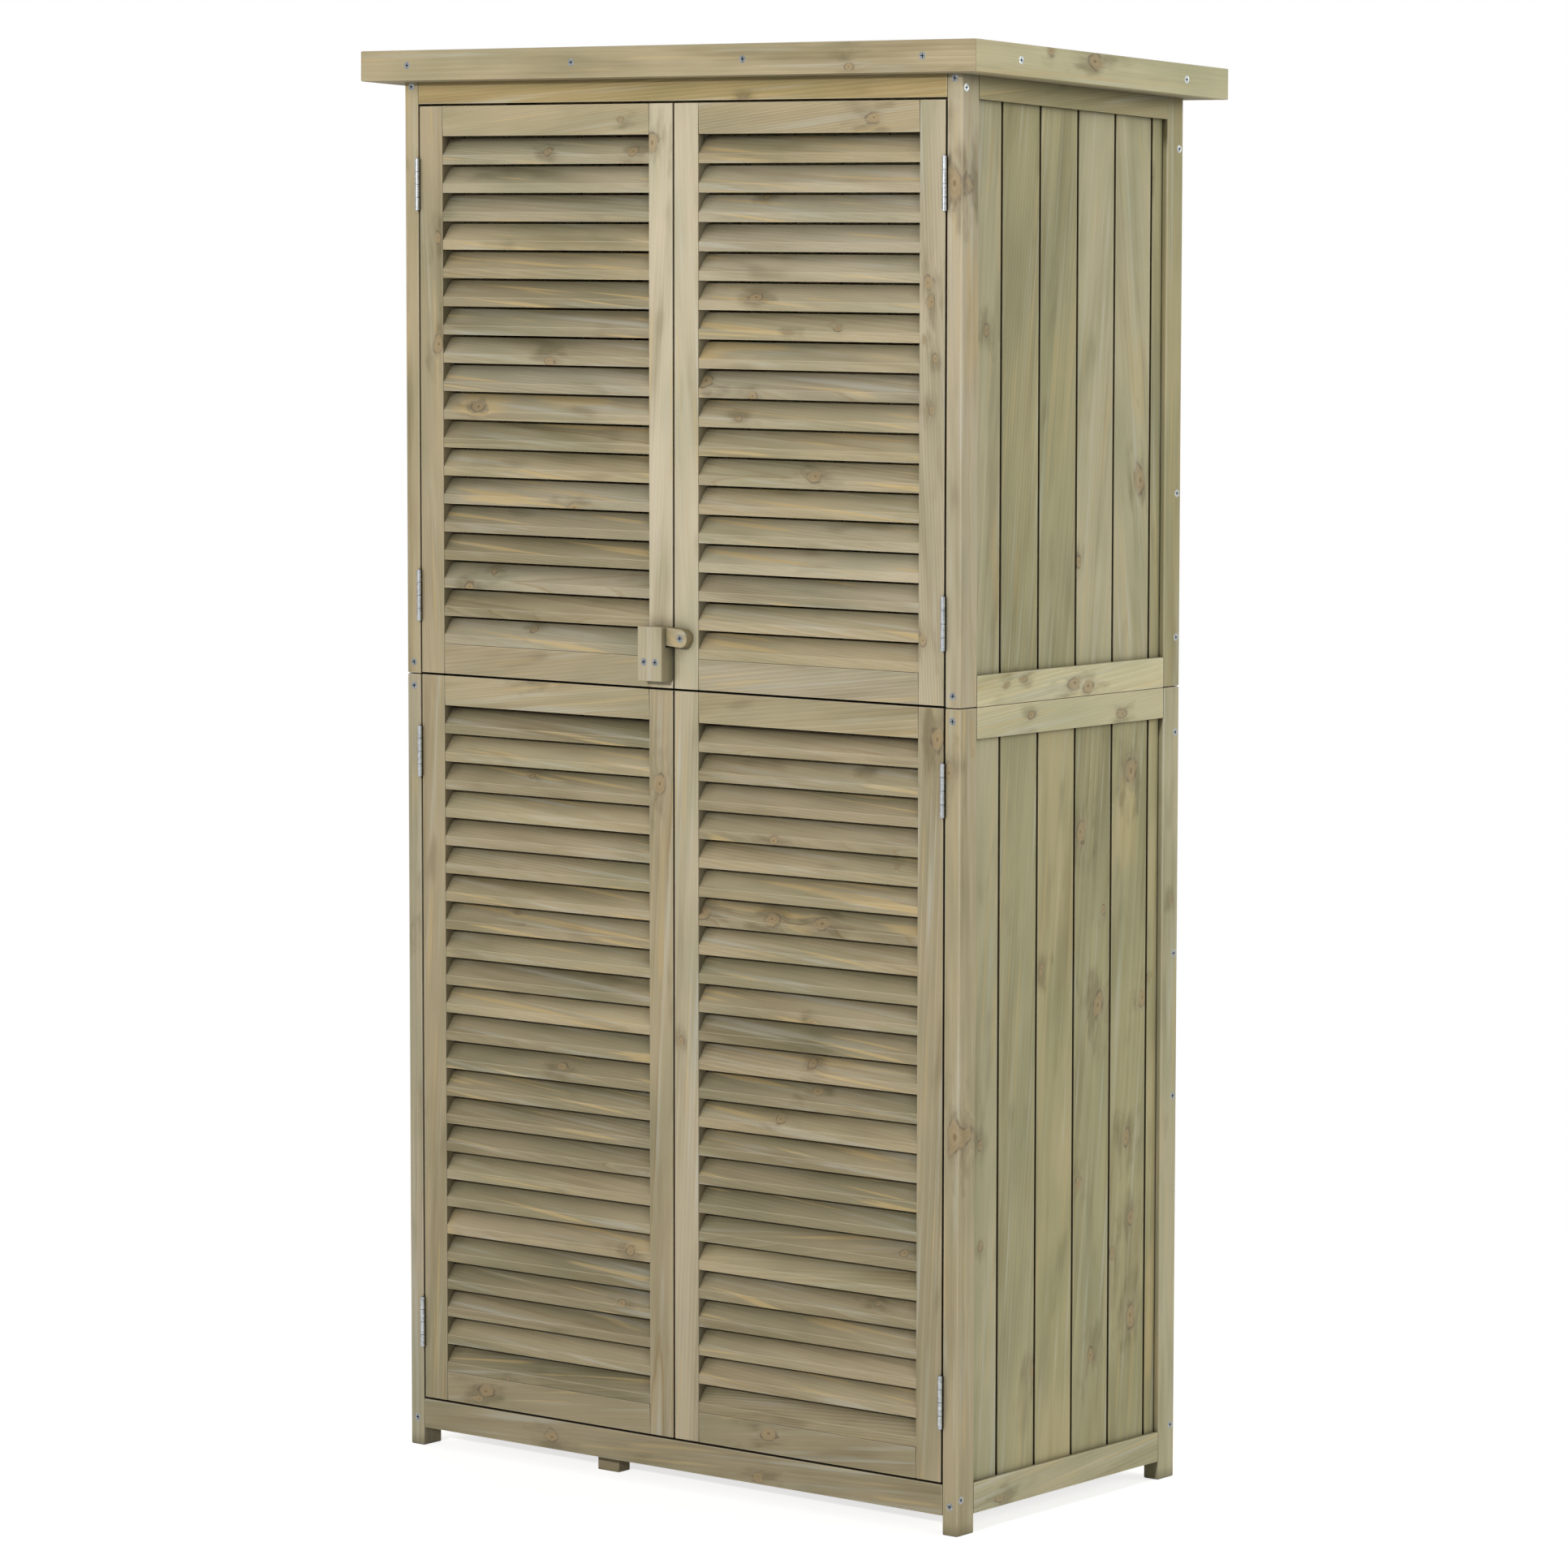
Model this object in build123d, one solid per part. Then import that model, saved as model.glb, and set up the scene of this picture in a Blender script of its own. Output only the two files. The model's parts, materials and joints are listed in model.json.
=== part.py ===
from build123d import *
import os

os.makedirs("parts", exist_ok=True)

# A louvred garden cupboard of treated fir, in millimetres.
# The front faces -Y, +Z is up, and the feet stand on z = 0 under the middle of the roof.

# Overall size
HEIGHT = 1600.0              # top front edge of the roof
ROOF_WIDTH = 870.0
ROOF_DEPTH = 465.0
ROOF_FALL = 23.0             # drop of the roof from its front edge to its back edge
SIDE_OVERHANG = 40.0
FRONT_OVERHANG = 30.0
BACK_OVERHANG = 29.0
SPLIT_HEIGHT = 894.0         # where the upper half stands on the lower half
FOOT_HEIGHT = 21.0           # clear height under the bottom rails

# Timber of the walls
POST_WIDTH = 20.0
POST_DEPTH = 30.0
RAIL_THICK = 20.0
RAIL_HEIGHT = 34.0
TOP_RAIL_HEIGHT = 46.0
BOARD_THICK = 14.0
BOARD_COVER = 69.0           # spacing of the tongued boards
FIRST_BOARD = 50.5           # the trimmed board beside a front post
BOARD_GROOVE = 3.5           # open groove between two boards
TONGUE_THICK = 3.0
TONGUE_BACK = 1.5            # wood behind a tongue
TONGUE_BITE = 4.0            # how far a tongue goes into the next board
TONGUE_FIT = 0.2
LEAST_BOARD = 14.0           # narrowest last board of a wall
BOARD_LAP = 10.0             # how far a board runs into a rail's rebate
REBATE_ROOM = 4.0            # free height past a board's end in the rebate
BACK_FRAME_THICK = 14.0
BACK_BOARD_THICK = 8.0

# Floor and shelves
SHELF_THICK = 12.0
SHELF_GAP = 3.0              # space between two shelf boards
SHELF_PLAY = 1.0             # space between a shelf and the walls
BEARER_SETBACK = 5.5         # front bearers behind the doors' backs
SHELF_HEIGHT = 1234.0        # underside of the upper shelf
SHELF_SETBACK = 30.0         # upper shelf behind the doors' backs
CENTRE_FOOT_WIDTH = 31.0
CENTRE_FOOT_X = -118.0

# Roof
FASCIA_HEIGHT = 34.0
FASCIA_THICK = 15.0
FELT_THICK = 2.5
DECK_THICK = 10.0
DECK_GAP = 1.0               # space between two roof boards
ROOF_FIT = 1.0               # roof battens to the walls

# Doors
DOOR_GAP = 2.2               # round every door
DOOR_THICK = 20.0
STILE_WIDTH = 34.0
DOOR_RAIL = 34.0
LOUVRE_SPACING = 32.0
SLAT_EDGE = 10.4             # upright front edge of a slat
SLAT_DEPTH = 13.5
SLAT_RISE = 19.2             # a slat climbs this much from front to back
SLAT_SETBACK = 0.5
DOOR_STOP_GAP = 0.3          # a shut door to what it stops against

# Butt hinges
HINGE_LENGTH = 58.0
HINGE_INSET = 59.0           # from a door's end to the hinge
HINGE_SPLIT = 0.4            # space between two shut leaves
LEAF_INSET = 1.0             # a leaf's edge from the door's back
KNUCKLES = 4
KNUCKLE_RADIUS = 2.6
KNUCKLE_GAP = 0.5
HINGE_CLEAR = 0.4
PIN_RADIUS = 1.3
PIN_RUN = 0.05
PIN_STAND = 0.6              # a pin stands out of its end knuckles by this

# Latch: a keeper block on one upper door, a turn button on the other
KEEPER_DEPTH = 20.0
KEEPER_HEIGHT = 60.0
KEEPER_LIFT = 8.5            # above the door's lower end
KEEPER_SCREW_LENGTH = 35.0
KEEPER_SCREW_SPACING = 16.0
KEEPER_SCREW_LIFT = 21.0
BUTTON_HEIGHT = 20.0
BUTTON_THICK = 11.3
BUTTON_REACH = 40.0          # from the pivot to the end in the keeper
BUTTON_TILT = 4.0            # degrees, its keeper end a little up
BUTTON_CLEAR = 0.3
PIVOT_DROP = 12.0            # pivot below the keeper's top
PIVOT_RUN = 0.08

# Magnetic catches and strike plates
CATCH_WIDTH = 30.0
CATCH_DEPTH = 20.0
CATCH_HEIGHT = 14.0
STRIKE_WIDTH = 26.0
STRIKE_HEIGHT = 11.0
STRIKE_THICK = 1.5

# Countersunk wood screws
SCREW_HEAD_RADIUS = 4.2
SCREW_HEAD_HEIGHT = 3.0
SCREW_RADIUS = 2.0
SCREW_LENGTH = 40.0
SHORT_SCREW = 26.0
RECESS_LENGTH = 4.6
RECESS_WIDTH = 1.1
RECESS_DEPTH = 1.8

# Screw places on the posts
TOP_SCREW_DROP = 40.0        # front post screws below the roof's top edge
SPLIT_SCREW = 13.5           # above and below the split
LOW_SCREW = 32.0
SIDE_TOP_SCREW_DROP = 50.0
SIDE_LOW_SCREW = 39.5
SIDE_SCREW_INSET = 7.0       # from a post's edge
BACK_SCREWS_FROM_GROUND = (60.0, 434.0)
BACK_SCREWS_FROM_SPLIT = (-299.0, -51.0, 55.0, 215.0)
BACK_SCREW_FROM_TOP = 111.0
FASCIA_SCREW_INSET = 70.5    # outer screws of the front fascia from its ends
SIDE_FASCIA_INSET = 80.0     # screws of a side fascia from its ends

# Places that follow from the sizes above
FRONT = FRONT_OVERHANG - ROOF_DEPTH / 2
BACK = ROOF_DEPTH / 2 - BACK_OVERHANG
SIDE = ROOF_WIDTH / 2 - SIDE_OVERHANG
INNER = SIDE - POST_WIDTH
BOARD_FACE = INNER + BOARD_THICK
WALL_FRONT = FRONT + POST_DEPTH
WALL_BACK = BACK - POST_DEPTH
BACK_FACE = BACK - BACK_FRAME_THICK
BOTTOM_TOP = FOOT_HEIGHT + RAIL_HEIGHT
DOOR_BACK = FRONT + DOOR_THICK
STOP = DOOR_BACK + DOOR_STOP_GAP
BEARER_FRONT = DOOR_BACK + BEARER_SETBACK
DOOR_EDGE = INNER - DOOR_GAP
HINGE_X = INNER - DOOR_GAP / 2
HINGE_Y = FRONT - KNUCKLE_RADIUS - HINGE_CLEAR
LEAF_THICK = (DOOR_GAP - HINGE_SPLIT) / 2
MEETING_STILE = DOOR_GAP / 2 + STILE_WIDTH / 2
REBATE = BOARD_LAP + REBATE_ROOM
MIDDLE_TOP = SPLIT_HEIGHT + SHELF_THICK


def roof_top(y):
    """Height of the roof's upper face at depth y."""
    return HEIGHT - ROOF_FALL * (y + ROOF_DEPTH / 2) / ROOF_DEPTH


def deck_under(y):
    """Height of the roof boards' underside at depth y."""
    return roof_top(y) - FELT_THICK - DECK_THICK


def top_rail_under(y):
    """Height of the sloping top rails' lower edge at depth y."""
    return deck_under(y) - TOP_RAIL_HEIGHT


FRONT_RAIL_UNDER = top_rail_under(FRONT)
UPPER_DOOR = (SPLIT_HEIGHT + DOOR_GAP, FRONT_RAIL_UNDER - DOOR_GAP)
LOWER_DOOR = (BOTTOM_TOP + DOOR_GAP, SPLIT_HEIGHT)


def block(x, y, z):
    """A plain block between two values along each axis."""
    low = (x[0], y[0], z[0])
    return Pos(*low) * Box(x[1] - x[0], y[1] - y[0], z[1] - z[0], align=(Align.MIN,) * 3)


def prism(plane, points, length):
    """An outline drawn on a plane and pulled out along the plane's normal."""
    outline = make_face(plane * Polyline(*points, close=True))
    return extrude(outline, length, dir=plane.z_dir)


def between(x, y, bottom, top):
    """A piece between two heights that are functions of the depth y."""
    corners = [(y[0], bottom(y[0])), (y[1], bottom(y[1])), (y[1], top(y[1])), (y[0], top(y[0]))]
    return prism(Plane.YZ.offset(x[0]), corners, x[1] - x[0])


def mirrored(pieces):
    """The same pieces on the other side of the middle."""
    return [mirror(piece, about=Plane.YZ) for piece in pieces]


def meet(a, b):
    """Tells whether the boxes around two shapes meet."""
    p = a.bounding_box()
    q = b.bounding_box()
    apart = p.max.X < q.min.X or q.max.X < p.min.X
    apart = apart or p.max.Y < q.min.Y or q.max.Y < p.min.Y
    return not (apart or p.max.Z < q.min.Z or q.max.Z < p.min.Z)


def bored(piece, shanks):
    """A piece with a hole for each screw that reaches it."""
    for shank in shanks:
        if meet(piece, shank):
            piece = piece - shank
    return piece


def save(name, pieces):
    """Writes one node, whose pieces stay separate solids."""
    solids = [solid for piece in pieces for solid in piece.solids()]
    export_step(Compound(solids), f"parts/{name}.step")


# Screws


def shank(length, extra=0.0):
    """A screw's body with its head's top at the origin and its point along -Z."""
    head = Cone(
        SCREW_RADIUS + extra,
        SCREW_HEAD_RADIUS + extra,
        SCREW_HEAD_HEIGHT,
        align=(Align.CENTER, Align.CENTER, Align.MAX),
    )
    rod = Cylinder(SCREW_RADIUS + extra, length, align=(Align.CENTER, Align.CENTER, Align.MAX))
    return head + rod


def screw(length):
    """A countersunk screw with a cross recess."""
    recess = Box(RECESS_LENGTH, RECESS_WIDTH, 2 * RECESS_DEPTH)
    return shank(length) - recess - Rot(0, 0, 90) * recess


INTO_FRONT = (90, 0, 0)
INTO_BACK = (-90, 0, 0)
INTO_RIGHT = (0, 90, 0)


def frame_screw_places():
    """Where screws enter the right-hand posts, front face first."""
    post_middle = SIDE - POST_WIDTH / 2
    heights = (LOW_SCREW, SPLIT_HEIGHT - SPLIT_SCREW, SPLIT_HEIGHT + SPLIT_SCREW)
    front_heights = heights + (HEIGHT - TOP_SCREW_DROP,)
    back_heights = heights + (HEIGHT - TOP_SCREW_DROP - ROOF_FALL,)
    places = [Location((post_middle, FRONT, z), INTO_FRONT) for z in front_heights]
    places += [Location((post_middle, BACK, z), INTO_BACK) for z in back_heights]
    for z in (SIDE_LOW_SCREW, HEIGHT - SIDE_TOP_SCREW_DROP):
        places.append(Location((SIDE, FRONT + SIDE_SCREW_INSET, z), INTO_RIGHT))
    back_screws = list(BACK_SCREWS_FROM_GROUND)
    back_screws += [SPLIT_HEIGHT + rise for rise in BACK_SCREWS_FROM_SPLIT]
    for z in back_screws + [HEIGHT - BACK_SCREW_FROM_TOP]:
        places.append(Location((SIDE, BACK - SIDE_SCREW_INSET, z), INTO_RIGHT))
    return places


def fascia_middle(y):
    """Height of the middle of a fascia at depth y."""
    return roof_top(y) - FASCIA_HEIGHT / 2


def fascia_screw_places():
    """Where screws enter the fascias, on the right-hand half."""
    edge = ROOF_DEPTH / 2
    side = ROOF_WIDTH / 2
    outer = side - FASCIA_SCREW_INSET
    row = (outer / 3, outer)  # four screws in all, evenly spaced
    places = [Location((x, -edge, fascia_middle(-edge)), INTO_FRONT) for x in row]
    places += [Location((x, edge, fascia_middle(edge)), INTO_BACK) for x in row]
    for y in (SIDE_FASCIA_INSET - edge, edge - SIDE_FASCIA_INSET):
        places.append(Location((side, y, fascia_middle(y)), INTO_RIGHT))
    return places


def both_sides(shape, places):
    """A shape at each place and at its mirror place."""
    right = [place * shape for place in places]
    return right + mirrored(right)


# Walls


def posts():
    """The four corner posts in two halves each, by name."""
    faces = {"front": (FRONT, WALL_FRONT), "back": (WALL_BACK, BACK)}
    made = {}
    for face, y in faces.items():
        lower = block((INNER, SIDE), y, (0, SPLIT_HEIGHT))
        upper = between((INNER, SIDE), y, lambda _: SPLIT_HEIGHT, deck_under)
        for half, post in (("lower", lower), ("upper", upper)):
            made[f"{face}_right_{half}_post"] = post
            made[f"{face}_left_{half}_post"] = mirror(post, about=Plane.YZ)
    return made


def side_rail(bottom, top, rebate_at_top):
    """One rail of the right wall, thinner along the edge that takes the boards."""
    span = (WALL_FRONT, WALL_BACK)
    outer = between((BOARD_FACE, SIDE), span, bottom, top)
    if rebate_at_top:
        inner = between((INNER, BOARD_FACE), span, bottom, lambda y: top(y) - REBATE)
    else:
        inner = between((INNER, BOARD_FACE), span, lambda y: bottom(y) + REBATE, top)
    return outer + inner


def side_rails():
    """The four rails of the right wall, from the bottom up."""
    lower_top = SPLIT_HEIGHT - RAIL_HEIGHT
    upper_low = SPLIT_HEIGHT + RAIL_HEIGHT
    return [
        side_rail(lambda y: FOOT_HEIGHT, lambda y: BOTTOM_TOP, True),
        side_rail(lambda y: lower_top, lambda y: SPLIT_HEIGHT, False),
        side_rail(lambda y: SPLIT_HEIGHT, lambda y: upper_low, True),
        side_rail(top_rail_under, deck_under, False),
    ]


def board_edges(start, stop, first):
    """Where the tongued boards of a wall start and end, along the wall."""
    edges = [start, start + first]
    while edges[-1] + BOARD_COVER + LEAST_BOARD < stop:
        edges.append(edges[-1] + BOARD_COVER)
    return edges + [stop + BOARD_GROOVE - SHELF_PLAY]


def tongue_board(width, thick, length, grooved, tongued):
    """A board along Z with its outer face on y = 0 and its first edge on x = 0."""
    face = width - BOARD_GROOVE
    board = block((0, face), (0, thick), (0, length))
    low = thick - TONGUE_BACK - TONGUE_THICK
    if tongued:
        tongue = (face, width + TONGUE_BITE)
        board = board + block(tongue, (low, low + TONGUE_THICK), (0, length))
    if grooved:
        depth = (0, TONGUE_BITE + TONGUE_FIT)
        board = board - block(depth, (low - TONGUE_FIT, low + TONGUE_THICK + TONGUE_FIT), (0, length))
    return board


def wall_boards(edges, thick, bottom, top, place):
    """The boards of one wall; place gives each board's location from its edge and foot."""
    boards = []
    last = len(edges) - 2
    for number, (start, stop) in enumerate(zip(edges, edges[1:])):
        middle = (start + stop) / 2
        length = top(middle) - bottom
        board = tongue_board(stop - start, thick, length, number > 0, number < last)
        boards.append(place(start, bottom) * board)
    return boards


def side_boards():
    """The upright boards of the right wall, lower half then upper half."""
    edges = board_edges(WALL_FRONT, WALL_BACK, FIRST_BOARD)

    def place(start, foot):
        return Location((BOARD_FACE, start, foot), (0, 0, 90))

    lower_top = SPLIT_HEIGHT - RAIL_HEIGHT + BOARD_LAP
    lower = wall_boards(edges, BOARD_THICK, BOTTOM_TOP - BOARD_LAP, lambda y: lower_top, place)
    foot = SPLIT_HEIGHT + RAIL_HEIGHT - BOARD_LAP
    upper = wall_boards(edges, BOARD_THICK, foot, lambda y: top_rail_under(y) + BOARD_LAP, place)
    return lower + upper


BACK_LOW = (FOOT_HEIGHT, SPLIT_HEIGHT)
BACK_HIGH = (SPLIT_HEIGHT, deck_under(BACK))
BACK_STILE = INNER - RAIL_HEIGHT


def back_rail(bottom, rebate_at_top):
    """One rail of the back wall between its stiles, with a rebate for the boards."""
    board_back = BACK_FACE + BACK_BOARD_THICK
    span = (-BACK_STILE, BACK_STILE)
    top = bottom + RAIL_HEIGHT
    outer = block(span, (board_back, BACK), (bottom, top))
    inner = (bottom, top - REBATE) if rebate_at_top else (bottom + REBATE, top)
    return outer + block(span, (BACK_FACE, board_back), inner)


def back_frame():
    """Stiles and rails of the back wall's two panels."""
    pieces = []
    for bottom, top in (BACK_LOW, BACK_HIGH):
        stile = block((BACK_STILE, INNER), (BACK_FACE, BACK), (bottom, top))
        pieces += [stile] + mirrored([stile])
        pieces += [back_rail(bottom, True), back_rail(top - RAIL_HEIGHT, False)]
    return pieces


def back_boards():
    """The upright boards of the back wall's two panels."""
    edges = board_edges(-BACK_STILE, BACK_STILE, BOARD_COVER)
    boards = []
    for bottom, top in (BACK_LOW, BACK_HIGH):
        foot = bottom + RAIL_HEIGHT - BOARD_LAP
        head = top - RAIL_HEIGHT + BOARD_LAP
        boards += wall_boards(
            edges,
            BACK_BOARD_THICK,
            foot,
            lambda x, head=head: head,
            lambda start, z: Location((-start, BACK_FACE + BACK_BOARD_THICK, z), (0, 0, 180)),
        )
    return boards


def front_rails():
    """The front bottom rail and the front top rail, between the posts."""
    span = (-INNER, INNER)
    depth = (FRONT, FRONT + RAIL_THICK)
    bottom = block(span, depth, (FOOT_HEIGHT, BOTTOM_TOP))
    top = between(span, depth, lambda y: FRONT_RAIL_UNDER, deck_under)
    return bottom, top


# Floor and shelves


def bearer_frame(top):
    """Two bearers along the width and two ledgers along the side walls, under a shelf."""
    z = (top - RAIL_HEIGHT, top)
    inside = INNER - RAIL_THICK
    ledger = block((inside, INNER), (BEARER_FRONT, BACK_FACE), z)
    front = block((-inside, inside), (BEARER_FRONT, BEARER_FRONT + RAIL_THICK), z)
    back = block((-inside, inside), (BACK_FACE - RAIL_THICK, BACK_FACE), z)
    return [ledger, front, back] + mirrored([ledger])


def shelf_spans(low, high):
    """Where equal shelf boards start and end between two walls."""
    count = round((high - low) / BOARD_COVER)
    step = (high - low + SHELF_GAP) / count
    return [(low + i * step, low + (i + 1) * step - SHELF_GAP) for i in range(count)]


def deep_shelf(bottom):
    """Boards from front to back; their front ends stop the doors."""
    reach = INNER - SHELF_PLAY
    y = (STOP, BACK_FACE - SHELF_PLAY)
    return [block(x, y, (bottom, bottom + SHELF_THICK)) for x in shelf_spans(-reach, reach)]


def upper_shelf():
    """The upper shelf's ledgers and its boards along the width."""
    y = (DOOR_BACK + SHELF_SETBACK, BACK_FACE - SHELF_PLAY)
    ledger = block((INNER - RAIL_THICK, INNER), y, (SHELF_HEIGHT - RAIL_HEIGHT, SHELF_HEIGHT))
    reach = INNER - SHELF_PLAY
    z = (SHELF_HEIGHT, SHELF_HEIGHT + SHELF_THICK)
    boards = [block((-reach, reach), span, z) for span in shelf_spans(*y)]
    return [ledger] + mirrored([ledger]), boards


def centre_foot():
    """The block under the front floor bearer."""
    half = CENTRE_FOOT_WIDTH / 2
    x = (CENTRE_FOOT_X - half, CENTRE_FOOT_X + half)
    return block(x, (BEARER_FRONT, BEARER_FRONT + RAIL_THICK), (0, FOOT_HEIGHT))


def catches():
    """Magnetic catches over and under the middle shelf, beside the doors' meeting line."""
    half = CATCH_WIDTH / 2
    x = (MEETING_STILE - half, MEETING_STILE + half)
    front = DOOR_BACK + STRIKE_THICK + DOOR_STOP_GAP
    y = (front, front + CATCH_DEPTH)
    under = SPLIT_HEIGHT - RAIL_HEIGHT
    upper = block(x, y, (MIDDLE_TOP, MIDDLE_TOP + CATCH_HEIGHT))
    lower = block(x, y, (under - CATCH_HEIGHT, under))
    return [upper, lower] + mirrored([upper, lower])


def strike(middle):
    """A strike plate on the back of the right door's meeting stile."""
    half = STRIKE_WIDTH / 2
    x = (MEETING_STILE - half, MEETING_STILE + half)
    z = (middle - STRIKE_HEIGHT / 2, middle + STRIKE_HEIGHT / 2)
    return block(x, (DOOR_BACK, DOOR_BACK + STRIKE_THICK), z)


# Roof


def roof_piece(plan, drop, thick):
    """A roof layer: an outline seen from above, this far below the roof's top."""
    def upper(y):
        return roof_top(y) - drop

    def lower(y):
        return upper(y) - thick

    layer = between((-ROOF_X, ROOF_X), (-ROOF_Y, ROOF_Y), lower, upper)
    return prism(Plane.XY, plan, HEIGHT) & layer


def rectangle(x, y):
    """A rectangle's corners in plan."""
    return [(x[0], y[0]), (x[1], y[0]), (x[1], y[1]), (x[0], y[1])]


ROOF_X = ROOF_WIDTH / 2
ROOF_Y = ROOF_DEPTH / 2
DECK_X = ROOF_X - FASCIA_THICK
DECK_Y = ROOF_Y - FASCIA_THICK


def fascias():
    """Front and side fascias mitred at the front corners, and the lower back fascia."""
    front = [(-ROOF_X, -ROOF_Y), (ROOF_X, -ROOF_Y), (DECK_X, -DECK_Y), (-DECK_X, -DECK_Y)]
    right = [(ROOF_X, -ROOF_Y), (ROOF_X, ROOF_Y), (DECK_X, ROOF_Y), (DECK_X, -DECK_Y)]
    back = rectangle((-DECK_X, DECK_X), (DECK_Y, ROOF_Y))
    side = roof_piece(right, 0, FASCIA_HEIGHT)
    return {
        "front_fascia": roof_piece(front, 0, FASCIA_HEIGHT),
        "right_fascia": side,
        "left_fascia": mirror(side, about=Plane.YZ),
        "back_fascia": roof_piece(back, FELT_THICK, FASCIA_HEIGHT - FELT_THICK),
    }


def roof_boards():
    """The roof boards along the width, inside the fascias."""
    count = round(2 * DECK_Y / BOARD_COVER)
    step = (2 * DECK_Y + DECK_GAP) / count
    boards = []
    for i in range(count):
        start = i * step - DECK_Y
        plan = rectangle((-DECK_X, DECK_X), (start, start + step - DECK_GAP))
        boards.append(roof_piece(plan, FELT_THICK, DECK_THICK))
    return boards


def roof_battens():
    """Battens under the roof boards, between the fascias and the walls."""
    drop = FELT_THICK + DECK_THICK
    wall = SIDE + ROOF_FIT
    front = (-DECK_Y, FRONT - ROOF_FIT)
    back = (BACK + ROOF_FIT, DECK_Y)
    plans = [rectangle((-DECK_X, DECK_X), front), rectangle((-DECK_X, DECK_X), back)]
    sides = (front[1], back[0])
    plans += [rectangle((wall, DECK_X), sides), rectangle((-DECK_X, -wall), sides)]
    return [roof_piece(plan, drop, FASCIA_HEIGHT - drop) for plan in plans]


def roof_felt():
    """The felt sheet inside the fascias, over the back fascia's top."""
    return roof_piece(rectangle((-DECK_X, DECK_X), (-DECK_Y, ROOF_Y)), 0, FELT_THICK)


# Doors, made for the right-hand side


def stiles(z):
    """The upright frame pieces, meeting stile first."""
    y = (FRONT, DOOR_BACK)
    meeting = block((DOOR_GAP / 2, DOOR_GAP / 2 + STILE_WIDTH), y, z)
    hinged = block((DOOR_EDGE - STILE_WIDTH, DOOR_EDGE), y, z)
    return [meeting, hinged]


LOUVRE_X = (DOOR_GAP / 2 + STILE_WIDTH, DOOR_EDGE - STILE_WIDTH)


def door_rails(z):
    """The bottom and top pieces of a door frame."""
    y = (FRONT, DOOR_BACK)
    bottom = block(LOUVRE_X, y, (z[0], z[0] + DOOR_RAIL))
    top = block(LOUVRE_X, y, (z[1] - DOOR_RAIL, z[1]))
    return [bottom, top]


def slats(z):
    """Louvre slats that climb towards the inside, one above the other."""
    low = z[0] + DOOR_RAIL
    opening = z[1] - DOOR_RAIL - low
    count = round(opening / LOUVRE_SPACING)
    front = FRONT + SLAT_SETBACK
    rear = front + SLAT_DEPTH
    made = []
    for i in range(count):
        foot = low + i * opening / count
        outline = [
            (front, foot),
            (rear, foot + SLAT_RISE),
            (rear, foot + SLAT_RISE + SLAT_EDGE),
            (front, foot + SLAT_EDGE),
        ]
        made.append(prism(Plane.YZ.offset(LOUVRE_X[0]), outline, LOUVRE_X[1] - LOUVRE_X[0]))
    return made


def hinge_heights(z):
    """Lower ends of a door's two hinges."""
    return (z[0] + HINGE_INSET, z[1] - HINGE_INSET - HINGE_LENGTH)


def leaf(x, foot, first):
    """A hinge leaf between two x values with every second knuckle, starting at number first."""
    root = HINGE_Y + KNUCKLE_RADIUS + HINGE_CLEAR
    made = block(x, (root, DOOR_BACK - LEAF_INSET), (foot, foot + HINGE_LENGTH))
    step = (HINGE_LENGTH + KNUCKLE_GAP) / KNUCKLES
    for number in range(first, KNUCKLES, 2):
        low = foot + number * step
        high = low + step - KNUCKLE_GAP
        knuckle = Cylinder(KNUCKLE_RADIUS, high - low, align=(Align.CENTER, Align.CENTER, Align.MIN))
        made = made + block(x, (HINGE_Y, root), (low, high)) + Pos(HINGE_X, HINGE_Y, low) * knuckle
    bore = Cylinder(PIN_RADIUS + PIN_RUN, HINGE_LENGTH, align=(Align.CENTER, Align.CENTER, Align.MIN))
    return made - Pos(HINGE_X, HINGE_Y, foot) * bore


def door_leaves(z):
    """The leaves on a door's edge."""
    return [leaf((DOOR_EDGE, DOOR_EDGE + LEAF_THICK), foot, 1) for foot in hinge_heights(z)]


def post_leaves(z):
    """The leaves on the post beside a door."""
    return [leaf((INNER - LEAF_THICK, INNER), foot, 0) for foot in hinge_heights(z)]


def hinge_pins(z):
    """The pins of a door's hinges."""
    pin = Cylinder(
        PIN_RADIUS, HINGE_LENGTH + 2 * PIN_STAND, align=(Align.CENTER, Align.CENTER, Align.MIN)
    )
    return [Pos(HINGE_X, HINGE_Y, foot - PIN_STAND) * pin for foot in hinge_heights(z)]


# Latch

KEEPER_FOOT = UPPER_DOOR[0] + KEEPER_LIFT
KEEPER_TOP = KEEPER_FOOT + KEEPER_HEIGHT
PIVOT_X = MEETING_STILE
PIVOT_Z = KEEPER_TOP - PIVOT_DROP
BUTTON_BACK = FRONT - BUTTON_CLEAR
BUTTON_FRONT = BUTTON_BACK - BUTTON_THICK


def keeper_screw_places():
    """Where the two keeper screws enter, on the left door's meeting stile."""
    half = KEEPER_SCREW_SPACING / 2
    z = KEEPER_FOOT + KEEPER_SCREW_LIFT
    face = FRONT - KEEPER_DEPTH
    return [Location((x - MEETING_STILE, face, z), INTO_FRONT) for x in (-half, half)]


def keeper():
    """The keeper block with a rebate behind its upper end for the turn button."""
    x = (-DOOR_GAP / 2 - STILE_WIDTH, -DOOR_GAP / 2)
    body = block(x, (FRONT - KEEPER_DEPTH, FRONT), (KEEPER_FOOT, KEEPER_TOP))
    floor = PIVOT_Z - BUTTON_HEIGHT / 2 - BUTTON_CLEAR
    return body - block(x, (BUTTON_FRONT - BUTTON_CLEAR, FRONT), (floor, KEEPER_TOP))


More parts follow.
